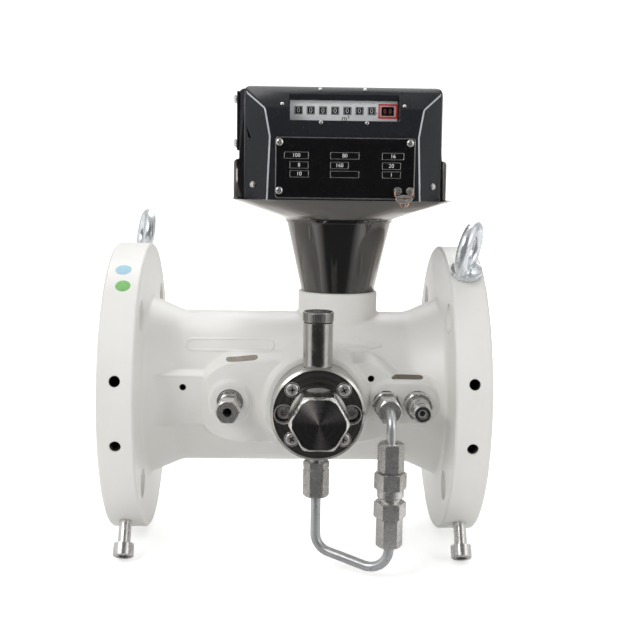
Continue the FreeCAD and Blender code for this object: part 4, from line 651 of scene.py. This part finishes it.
def make_seal():
    """Two drilled screws tied by a twisted wire and closed by a plain pressed seal."""
    bm = bmesh.new()
    for x in (181.8, 189.4):
        lathe(bm, [(0, -0.3), (2.5, -0.3), (2.6, 0.4), (2.6, 2.0), (2.2, 2.7), (0, 2.9)],
              frame_at((x, SCREW_Y, 133.2), TO_FRONT), 32)
    finish_piece("seal_screws", bm, MATS["steel"], "index_head")
    bm = bmesh.new()
    for shift in (0.0, 0.7):
        tube_mesh(bm, smooth_path([
            (180.2, -60.1, 133.4), (179.6, -60.8, 131.0 - shift), (181.6, -61.2 - shift, 129.2),
            (185.4, -61.0, 128.4 + shift), (189.4, -61.2 - shift, 129.4), (191.4, -60.8, 131.4 + shift),
            (191.0, -60.1, 133.6)]), 0.28)
    tube_mesh(bm, smooth_path([(183.2, -60.6, 127.4), (183.0, -61.2, 124.6), (185.2, -61.6, 123.0),
                               (186.6, -61.2, 124.4), (186.2, -60.8, 127.0)]), 0.26)
    tube_mesh(bm, smooth_path([(187.8, -60.7, 127.6), (188.6, -61.3, 125.4), (187.2, -61.6, 123.6)]), 0.26)
    finish_piece("seal_wire", bm, MATS["copper_wire"], "index_head")
    bm = bmesh.new()
    place = frame_at((185.5, -59.4, 128.3), (0.05, -1, 0.12))
    outline = [(5.3 * math.cos(math.radians(a)), 2.6 * math.sin(math.radians(a)) * (1.06 if a % 40 else 0.97))
               for a in range(0, 360, 10)]
    slab(bm, outline, place, -0.4, 1.7, 0.5)
    lathe(bm, [(0, 1.3), (1.5, 1.3), (1.6, 1.95), (1.9, 1.95), (2.0, 1.3)], place, 24)
    finish_piece("lead_seal", bm, MATS["lead"], "index_head")


make_nameplate()
make_plate_screws()
make_seal()


# ------------------------------------------------------------ counter
def make_digits():
    """Ten numerals round each number wheel; nought faces the window and the last two wheels are red."""
    for n, x in enumerate(ROLLERS, start=1):
        size, ink = (4.4, "print_white") if n < 8 else (3.6, "print_red_digit")
        bm = bmesh.new()
        for digit in range(10):
            turn = math.radians(36.0 * digit)
            out = Vector((0, -math.cos(turn), math.sin(turn)))
            up = Vector((0, math.sin(turn), math.cos(turn)))
            spot = Vector((HEAD_X + x, AXLE_Y, AXLE_Z)) + out * (ROLLER_R + 0.02)
            bm.from_mesh(text_mesh(str(digit), size, frame_at(spot, out, up), 0.04))
        mesh = bpy.data.meshes.new("digits_%d" % n)
        bm.to_mesh(mesh)
        bm.free()
        mesh.materials.append(MATS[ink])
        piece = add_object("digits_%d" % n, mesh)
        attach(piece, "roller_%d" % n)


def make_counter_print():
    """Printing on the plate behind the window, where local X and Y are the frame's X and Z."""
    plate = frame_at((0, COUNTER_Y, 0), TO_FRONT)
    bm = bmesh.new()
    for half_x, half_z, width in ((5.9, 4.5, 0.95), (4.6, 3.4, 0.30)):
        rim_frame(bm, round_rect(HEAD_X + 27.5, AXLE_Z, half_x, half_z, 0.2, 2), width, plate, 0.0, 0.08)
    finish_piece("counter_red_frame", bm, MATS["print_red"], "index_head", smooth=False)
    bm = bmesh.new()
    for x in ROLLERS[:7]:
        rim_frame(bm, round_rect(HEAD_X + x, AXLE_Z, 2.5, 2.5, 0.2, 2), 0.35, plate, 0.0, 0.07)
    finish_piece("counter_window_edges", bm, MATS["print_black"], "index_head", smooth=False)
    for name, text, x, z in (("counter_unit", "m³", 1.2, 177.5), ("counter_point", ",", 20.6, AXLE_Z)):
        spot = plate @ Matrix.Translation((HEAD_X + x, z, 0.04))
        lettering(name, text, 4.6, spot, MATS["print_black"], "index_head")


make_digits()
make_counter_print()


# ------------------------------------------------------------ stickers on the inlet rim
def rim_disc(name, x, angle, radius):
    """Round sticker that lies on the flange rim."""
    def point(r, turn, lift):
        a = math.radians(angle) + r * math.sin(turn) / RIM_R
        return x + r * math.cos(turn), -(RIM_R + lift) * math.cos(a), (RIM_R + lift) * math.sin(a)

    bm = bmesh.new()
    revolve(bm, [(radius * k / 6, 0.09) for k in range(6)] + [(radius, 0.02)], 40, point)
    finish_piece(name, bm, MATS[name], "meter")


rim_disc("sticker_blue", 12.2, 59.4, 5.0)
rim_disc("sticker_green", 13.5, 50.3, 4.7)


# ------------------------------------------------------------ cast skin of the body
def smooth_max(a, b, reach):
    blend = max(reach - abs(a - b), 0.0) / reach
    return max(a, b) + blend * blend * reach / 4


def box_distance(x, z, cx, cz, half_x, half_z, corner):
    """Signed distance to a rounded rectangle, negative inside."""
    px, pz = abs(x - cx) - half_x + corner, abs(z - cz) - half_z + corner
    return math.hypot(max(px, 0), max(pz, 0)) + min(max(px, pz), 0) - corner


def polygon_distance(x, z, points):
    """Signed distance to a convex anticlockwise outline, negative inside, corners left soft."""
    best = -1e9
    for i in range(len(points)):
        ax, az = points[i - 1]
        bx, bz = points[i]
        length = math.hypot(bx - ax, bz - az)
        away = ((x - ax) * (bz - az) - (z - az) * (bx - ax)) / length
        best = smooth_max(best, away, 5.0) if best > -1e8 else away
    return best


def plateau(face, distance, draft, round_off):
    """Height of a cast pad: flat inside, its edge rounded, then a drafted side."""
    return face - draft * max(smooth_max(distance + 0.35, 0.0, round_off) - round_off / 4, 0.0)


def body_radius(x):
    """Radius of the cast body: a fillet behind each flange, a cone and the waist."""
    fillet, low, high, neck = 5.0, 28.9, 45.9, 57.5
    end = min(x, 240.0 - x)
    cone = neck + (BODY_R - neck) * (end - low) / (high - low)
    shape = smooth_max(cone, BODY_R, 1.6) if end > 34 else cone
    if end < low:
        rest = min(fillet, low - end)
        shape = max(shape, neck + fillet - math.sqrt(max(0.0, fillet * fillet - rest * rest)))
    return shape


def front_height(x, z):
    """How far the casting stands out towards the front at one place."""
    radius = body_radius(x)
    height = math.sqrt(radius * radius - z * z) if abs(z) < radius else -50.0
    # The flat band, the block, the pump's seat and the two boss pads: face, distance, draft, rounding, blend.
    for face, distance, draft, round_off, blend in (
            (54.05, abs(z) - 15.6, 2.2, 1.6, 2.0),
            (56.55, polygon_distance(x, z, BLOCK), 3.6, 2.0, 2.4),
            (66.04, math.hypot(x - PUMP_X, z) - 31.75, 5.0, 1.2, 5.0),
            (60.04, math.hypot(x - 79.4, z - BOSS_Z) - 12.5, 3.0, 1.4, 3.0),
            (60.04, box_distance(x, z, 188.8, BOSS_Z, 20.9, 12.7, 11.7), 3.0, 1.4, 3.0)):
        height = smooth_max(height, plateau(face, distance, draft, round_off), blend)
    return height


def skin_radius(x, angle):
    """Distance from the pipe axis along one ray; 0 is the front."""
    base = body_radius(x) + 0.04
    if abs(angle) > math.radians(62):
        return base
    c, s = math.cos(angle), math.sin(angle)
    low, high = base, 80.0
    for _ in range(22):
        middle = (low + high) / 2
        if middle * c < front_height(x, middle * s):
            low = middle
        else:
            high = middle
    return low


def make_skin():
    """Cast outside of the body between the flanges, with blended pads and bosses."""
    columns = [24.0 + 192.0 * i / 256 for i in range(257)]
    angles = [math.radians(-64 + 0.64 * i) for i in range(201)]
    angles += [math.radians(64 + 4.0 * i) for i in range(1, 58)]
    pump_opening, tower_opening = 24.5, 25.6
    inside, outside = 0.42, 0.45        # points this near a hole's edge are moved onto it
    bm = bmesh.new()
    grid = []
    for angle in angles:
        row = []
        for x in columns:
            r = skin_radius(x, angle)
            row.append(bm.verts.new((x, -r * math.cos(angle), r * math.sin(angle))))
        grid.append(row)
    dropped = set()
    for vert in (vert for row in grid for vert in row if vert.co.y <= -30):
        if math.hypot(vert.co.x - PUMP_X, vert.co.z) < pump_opening:
            dropped.add(vert)
        for hx, hz, hr in BODY_HOLES:
            away = math.hypot(vert.co.x - hx, vert.co.z - hz)
            if hr - inside < away < hr + outside:
                scale = hr / away
                vert.co.x = hx + (vert.co.x - hx) * scale
                vert.co.z = hz + (vert.co.z - hz) * scale
            elif 1e-6 < away <= hr - inside:
                dropped.add(vert)
    for one, two in pairs(grid, closed=True):
        for (a, b), (d, c) in zip(pairs(one), pairs(two)):
            corners = (a, d, c, b)
            middle = sum((v.co for v in corners), Vector()) / 4
            under_tower = middle.z > 0 and math.hypot(middle.x - HEAD_X, middle.y) < tower_opening
            if not under_tower and not dropped.intersection(corners):
                bm.faces.new(corners)
    bmesh.ops.delete(bm, geom=[v for v in bm.verts if not v.link_faces], context="VERTS")
    finish_piece("body_cast_skin", bm, MATS["housing"], "meter")


def make_tower_fillet():
    """Cast blend between the index tower and the body."""
    bm = bmesh.new()
    blend, tower = 2.4, 26.42
    rows = []
    for turn in around(144):
        dx, dy = math.cos(turn), math.sin(turn)
        cx, cy = (tower + blend) * dx, (tower + blend) * dy
        cz = math.sqrt((BODY_R + 0.06 + blend) ** 2 - cy * cy)
        to_tower, to_body = Vector((-dx, -dy, 0)), Vector((0, -cy, -cz)).normalized()
        ways = [to_tower.lerp(to_body, k / 8).normalized() for k in range(9)]
        rows.append([bm.verts.new(Vector((HEAD_X + cx, cy, cz)) + way * blend) for way in ways])
    bridge(bm, rows[::-1], rings=False, closed=True)
    finish_piece("tower_cast_blend", bm, MATS["housing"], "meter")


make_skin()
make_tower_fillet()


# ------------------------------------------------------------ cast and stamped marks
def on_front(x, z, lift):
    """Point on the cast front, raised a little."""
    return Vector((x, -front_height(x, z) - lift, z))


def relief(bm, points, width, lift, closed=False):
    """Low rounded ridge that follows the cast surface through a list of (x, z)."""
    path = smooth_path([(x, 0, z) for x, z in points], 1, closed)
    fine = []
    for a, b in pairs(path, closed):
        parts = max(1, int((b - a).length / 1.2))
        fine += [a.lerp(b, k / parts) for k in range(parts)]
    if not closed:
        fine.append(path[-1])
    rows = []
    for p, way in zip(fine, headings(fine, closed)):
        side = Vector((-way.z, 0, way.x))
        row = []
        for k in range(-3, 4):
            q = p + side * (width * k / 6)
            up = lift * math.cos(math.pi * k / 6) - (0.06 if abs(k) == 3 else 0)
            row.append(bm.verts.new(on_front(q.x, q.z, up)))
        rows.append(row)
    bridge(bm, rows, rings=False, closed=closed)


def make_marks():
    """Cast flow arrow and bare cast frame, and two flats left bare by stamping."""
    bm = bmesh.new()
    relief(bm, [(143.5, 33.3), (150, 33.3), (160, 33.4), (168, 33.6), (175.5, 34.0)], 2.3, 1.0)
    relief(bm, [(158.0, 38.4), (165, 36.4), (175.8, 34.1)], 2.1, 1.0)
    relief(bm, [(158.0, 29.4), (165, 31.6), (175.8, 33.8)], 2.1, 1.0)
    ends = []
    for cx, first in ((103.0, -90), (54.0, 90)):
        for k in range(9):
            turn = math.radians(first + 22.5 * k)
            ends.append((cx + 3.3 * math.cos(turn), 33.5 + 3.3 * math.sin(turn)))
    relief(bm, ends, 1.7, 0.8, closed=True)
    finish_piece("cast_arrow_and_frame", bm, MATS["housing"], "meter")
    bm = bmesh.new()
    for x0, x1, z, slope in ((76.4, 96.6, 26.2, 0.07), (180.8, 201.4, 16.4, -0.01)):
        rows = []
        for i in range(41):
            x = x0 + (x1 - x0) * i / 40
            half = 1.05 * math.sqrt(max(0.0, 1 - abs(i / 20 - 1) ** 8)) + 0.05
            heights = [z + slope * (x - x0) + half * (k / 3 - 1) for k in range(7)]
            rows.append([bm.verts.new(on_front(x, height, 0.16)) for height in heights])
        bridge(bm, rows[::-1], rings=False)
    finish_piece("stamped_flats", bm, MATS["stamped"], "meter")


make_marks()


# ------------------------------------------------------------ pump, coupling and threads
def make_knurl():
    """Straight knurled rim round the reservoir cap."""
    bm = bmesh.new()
    cx, cy, teeth = 133.6, -77.0, 44
    rings = []
    for radius, z, cutting in ((9.06, 55.2, 0.0), (9.12, 55.6, 1.0), (9.12, 60.2, 1.0), (9.05, 60.6, 0.0)):
        ring = []
        for i, turn in enumerate(around(teeth * 4)):
            r = radius + cutting * (0.34 if i % 4 in (0, 1) else -0.04)
            ring.append(bm.verts.new((cx + r * math.cos(turn), cy + r * math.sin(turn), z)))
        rings.append(ring)
    bridge(bm, rings)
    finish_piece("reservoir_cap_knurl", bm, MATS["nickel_plain"], "reservoir_lid", smooth=False)


def stand_for(node, name, mesh, body, degrees):
    """Piece that rides on a body in the place of one CAD node."""
    smooth_by_angle(mesh, degrees)
    piece = add_object(name, mesh)
    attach(piece, body)
    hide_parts(node)


def copy_node(node, name, material, body, change):
    """Copy of one solid's mesh, its points changed one by one, that stands for the node."""
    mesh = NODES[node].data.copy()
    mesh.name = name
    for vert in mesh.vertices:
        vert.co = change(vert.co)
    mesh.materials.clear()
    mesh.materials.append(material)
    stand_for(node, name, mesh, body, 30)


def turn_eye(co):
    """The two lifting eyes are screwed in until they sit tight, each at its own angle."""
    outlet = co.x > 0.12
    centre = Vector((FLANGES_X[outlet] * MM, 0, 0))
    way = Vector((0, -0.5 if outlet else 0.5, math.sqrt(0.75)))
    return centre + Matrix.Rotation(math.radians(-19 if outlet else -4), 3, way) @ (co - centre)


def set_back(co):
    """The closed nut's front end makes room for its own machined face."""
    return co + Vector((0, 0.25 * MM, 0)) if co.y < -0.1165 else co


def cap_ring(bm, flats, limit, level):
    """Hexagon clipped by a circle, at a level in front of the closed nut."""
    ring = []
    for turn in around(96):
        inside = math.degrees(turn) % 60.0 - 30.0
        r = min(flats / 2 / math.cos(math.radians(inside)), limit)
        ring.append(bm.verts.new((PUMP_X + r * math.cos(turn), CAP_Y - level, r * math.sin(turn))))
    return ring


def make_cap_face():
    """Machined face of the closed nut on the pump, its colour a painted sheen, and its bright turned chamfer.
    """
    bm = bmesh.new()
    bm.faces.new(cap_ring(bm, 29.4, 15.7, -0.04))
    finish_piece("cap_face", bm, MATS["cap_face"], "pump_cap", smooth=False)
    bm = bmesh.new()
    steps = ((29.4, 15.7, -0.04), (30.0, 15.9, -0.04), (31.5, 16.9, -0.9), (31.75, 17.6, -1.9))
    bridge(bm, [cap_ring(bm, *step) for step in steps])
    finish_piece("cap_chamfer", bm, MATS["bright_nickel"], "pump_cap", smooth=False)


def make_cover_rings():
    """Bright countersinks round the cross screws and counterbores of the two mounting screws; black crosses
    on the cross screws' heads are painted shade of their recesses.
    """
    bm, screws, cross_shade = bmesh.new(), bmesh.new(), bmesh.new()
    for n, (dx, dz) in enumerate(COVER_SPOTS):
        up = (math.sin(n * 1.1), 0, math.cos(n * 1.1))
        place = frame_at((PUMP_X + dx, PUMP_COVER_Y, dz), TO_FRONT, up)
        lathe(bm, [(4.25, 0.01), (4.3, 0.06), (4.6, 0.06), (4.65, 0.01)], place, 40)
        pan_head(screws, place, 3.75, 1.2)
        for long, wide in ((1.9, 0.42), (0.42, 1.9)):
            # black crosses on the heads: painted shade of the cross recesses
            slab(cross_shade, [(-long, -wide), (long, -wide), (long, wide), (-long, wide)], place, 1.0, 1.28)
    for dx in (-20.4, 20.4):
        lathe(bm, [(5.45, -4.8), (5.45, -0.3), (5.65, 0.05), (6.05, 0.05), (6.15, 0.01)],
              frame_at((PUMP_X + dx, PUMP_COVER_Y, 0), TO_FRONT), 40)
    finish_piece("cover_bright_rings", bm, MATS["bright_nickel"], "meter", smooth=False)
    piece = finish_piece("pump_cover_screws_detail", screws, MATS["bright_nickel"], "meter")
    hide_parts("pump_cover_screws")
    finish_piece("pump_cover_screw_cross_shade", cross_shade, MATS["rubber_and_painted_shade"], "meter", smooth=False)


def make_coupling_details():
    """Black sealing ring in the quick coupling's mouth; bright rim of its poppet and a black disc in the
    poppet's mouth that is painted shade.
    """
    details = (("coupling_seal_ring", "quick_coupling_body", "rubber_and_painted_shade", "meter", 48,
                [(3.05, -0.6), (3.05, 0.02), (3.3, 0.08), (4.3, 0.08), (4.55, 0.01)]),
               ("poppet_rim", "quick_coupling_poppet", "bright_nickel", "poppet", 40,
                [(1.7, 0.02), (1.75, 0.2), (2.7, 0.2), (2.85, 0.02)]),
               # black disc: painted shade in the poppet's mouth
               ("poppet_mouth_painted_shade", "quick_coupling_poppet", "rubber_and_painted_shade", "poppet", 40, [(0, 0.03), (1.72, 0.03)]))
    for name, node, material, body, steps, profile in details:
        bm = bmesh.new()
        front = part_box(node)[0][1] / MM
        lathe(bm, profile, frame_at((COUPLING_X, front, BOSS_Z), TO_FRONT), steps)
        finish_piece(name, bm, MATS[material], body, smooth=name != "poppet_mouth_painted_shade")


def thread_ridges(bm, place, radius, low, high, pitch, depth, steps=28):
    """Helical ridge that shows the thread of a screw."""
    count = int((high - low) / pitch * steps)
    section = ((radius - 0.02, -0.42), (radius + depth, -0.06), (radius + depth, 0.06), (radius - 0.02, 0.42))
    rows = []
    for i in range(count + 1):
        turn = 2 * math.pi * i / steps
        z = low + (high - low) * i / count
        rows.append([bm.verts.new(place @ Vector((r * math.cos(turn), r * math.sin(turn), z + dz * pitch)))
                     for r, dz in section])
    bridge(bm, rows, rings=False)


def rim_place(x, angle):
    """Frame on a flange rim, its Z outwards; 0 degrees is the front."""
    a = math.radians(angle)
    way = Vector((0, -math.cos(a), math.sin(a)))
    return frame_at(Vector((x, 0, 0)) + way * RIM_R, way, (1, 0, 0))


def make_foot_threads():
    bm = bmesh.new()
    for x in FLANGES_X:
        for angle in (-56.0, -124.0):
            thread_ridges(bm, rim_place(x, angle), 3.7, 0.3, 14.6, 1.25, 0.28)
    finish_piece("foot_screw_threads", bm, MATS["steel"], "meter", smooth=False)


def make_hole_threads():
    """Dark threaded walls inside the four rim holes and the two small holes of the body."""
    bm = bmesh.new()
    holes = [(rim_place(x, angle), 3.4, 13.9) for x in FLANGES_X for angle in (12.0, -12.0)]
    for spot in ((49.4, -54.0, 8.6), (168.0, -56.5, 15.6)):
        holes.append((frame_at(spot, TO_FRONT, (1, 0, 0)), 2.1, 6.9))
    for place, radius, depth in holes:
        profile = [(0, -depth), (radius - 0.05, -depth)]
        z = -depth
        while z < -1.6:
            profile += [(radius - 0.42, z + 0.35), (radius - 0.04, z + 0.7)]
            z += 0.7
        lathe(bm, profile + [(radius - 0.03, -0.9)], place, 32)
    finish_piece("threaded_walls", bm, MATS["dark_thread"], "meter", smooth=False)


make_hole_threads()
make_knurl()
make_cap_face()
copy_node("pump_hex_cap", "hex_cap_blank", MATS["nickel"], "pump_cap", set_back)
copy_node("lifting_eyebolts", "lifting_eyes_seated", MATS["zinc"], "meter", turn_eye)
make_cover_rings()
make_coupling_details()
make_foot_threads()


# ------------------------------------------------------------ rounded folds of the index head
def rounded_copy(node, name, slots, width, weigh, tint):
    """Copy of one shell of the head whose outer corners are rounded, each by its own share of width."""
    bm = bmesh.new()
    bm.from_mesh(NODES[node].data)
    bmesh.ops.remove_doubles(bm, verts=bm.verts, dist=1e-6)
    bmesh.ops.dissolve_limit(bm, angle_limit=math.radians(1.0), verts=bm.verts, edges=bm.edges)
    layer = bm.edges.layers.float.new("bevel_weight_edge")
    for edge in bm.edges:
        if len(edge.link_faces) == 2 and edge.calc_length() > 3 * MM:
            if edge.calc_face_angle_signed(0) > math.radians(12):
                edge[layer] = weigh(edge)
    mesh = bpy.data.meshes.new(name)
    bm.to_mesh(mesh)
    bm.free()
    rough = add_object(name + "_rough", mesh)
    bevel = rough.modifiers.new("round", "BEVEL")
    bevel.limit_method = "WEIGHT"
    bevel.width = width * MM
    bevel.segments = 4
    bevel.use_clamp_overlap = False
    graph = bpy.context.evaluated_depsgraph_get()
    result = bpy.data.meshes.new_from_object(rough.evaluated_get(graph))
    bpy.data.objects.remove(rough)
    result.materials.clear()
    for slot in slots:
        result.materials.append(MATS[slot])
    for polygon in result.polygons:
        polygon.material_index = tint(polygon)
    stand_for(node, name, result, "index_head", 24)


def cover_side(face):
    """Which outer face of the front cover this is."""
    n, c = face.normal, face.calc_center_median() / MM
    if n.dot(c - Vector((HEAD_X, -20.0, 158.0))) <= 0 or face.calc_area() < 2e-5:
        return None
    if n.z > 0.95:
        return "top"
    if n.z > 0.5:
        return "slope"
    if abs(n.x) > 0.95:
        return "side"
    if abs(n.x) > 0.4 and n.y < -0.4:
        return "panel"
    return "front" if n.y < -0.9 else None


COVER_FOLDS = {("panel", "slope"): 0.14, ("front", "panel"): 0.12, ("panel", "side"): 0.45,
               ("side", "top"): 0.8, ("slope", "top"): 0.25, ("front", "slope"): 0.2,
               ("side", "slope"): 0.4, ("front", "front"): 0.2}


def cover_weight(edge):
    pair = tuple(sorted(str(cover_side(face)) for face in edge.link_faces))
    return COVER_FOLDS.get(pair, 0.0)


def cover_tint(polygon):
    """1, the paler paint, a painted highlight, on the folds between the front and its slanted panels."""
    n = polygon.normal
    # small slanted faces of the folds get the painted highlight
    gets_painted_highlight = polygon.area < 8e-5 and n.y < -0.7 and 0.10 < abs(n.x) < 0.60 and n.z < 0.62
    return 1 if gets_painted_highlight and polygon.center.y < -0.040 else 0


def base_weight(edge):
    """Rounds the upright corners of the back shell and the long edges of its steps."""
    a, b = (v.co / MM for v in edge.verts)
    same_x, same_y, same_z = (abs(p - q) < 0.1 for p, q in zip(a, b))
    outer = min(abs(a.x - x) for x in (78.8, 82.4, 214.8, 218.4)) < 0.1
    if outer and same_x and same_y and a.y < -13:
        return 0.75 if min(a.z, b.z) < 140 else 0.9
    if outer and same_x and same_z and a.z > 151:
        return 0.9 if a.z > 190 else 0.7
    return 0.0


def base_tint(polygon):
    """1, the duller paint of the front, above the step of the back shell."""
    return 1 if polygon.center.z > 0.1525 else 0


# the second slot is the painted highlight on the folds
rounded_copy("front_cover", "front_cover_folded", ["head_front", "fold_highlight"], 5.0,
             cover_weight, cover_tint)
rounded_copy("index_base", "index_base_rounded", ["head_base", "head_front"], 4.5,
             base_weight, base_tint)
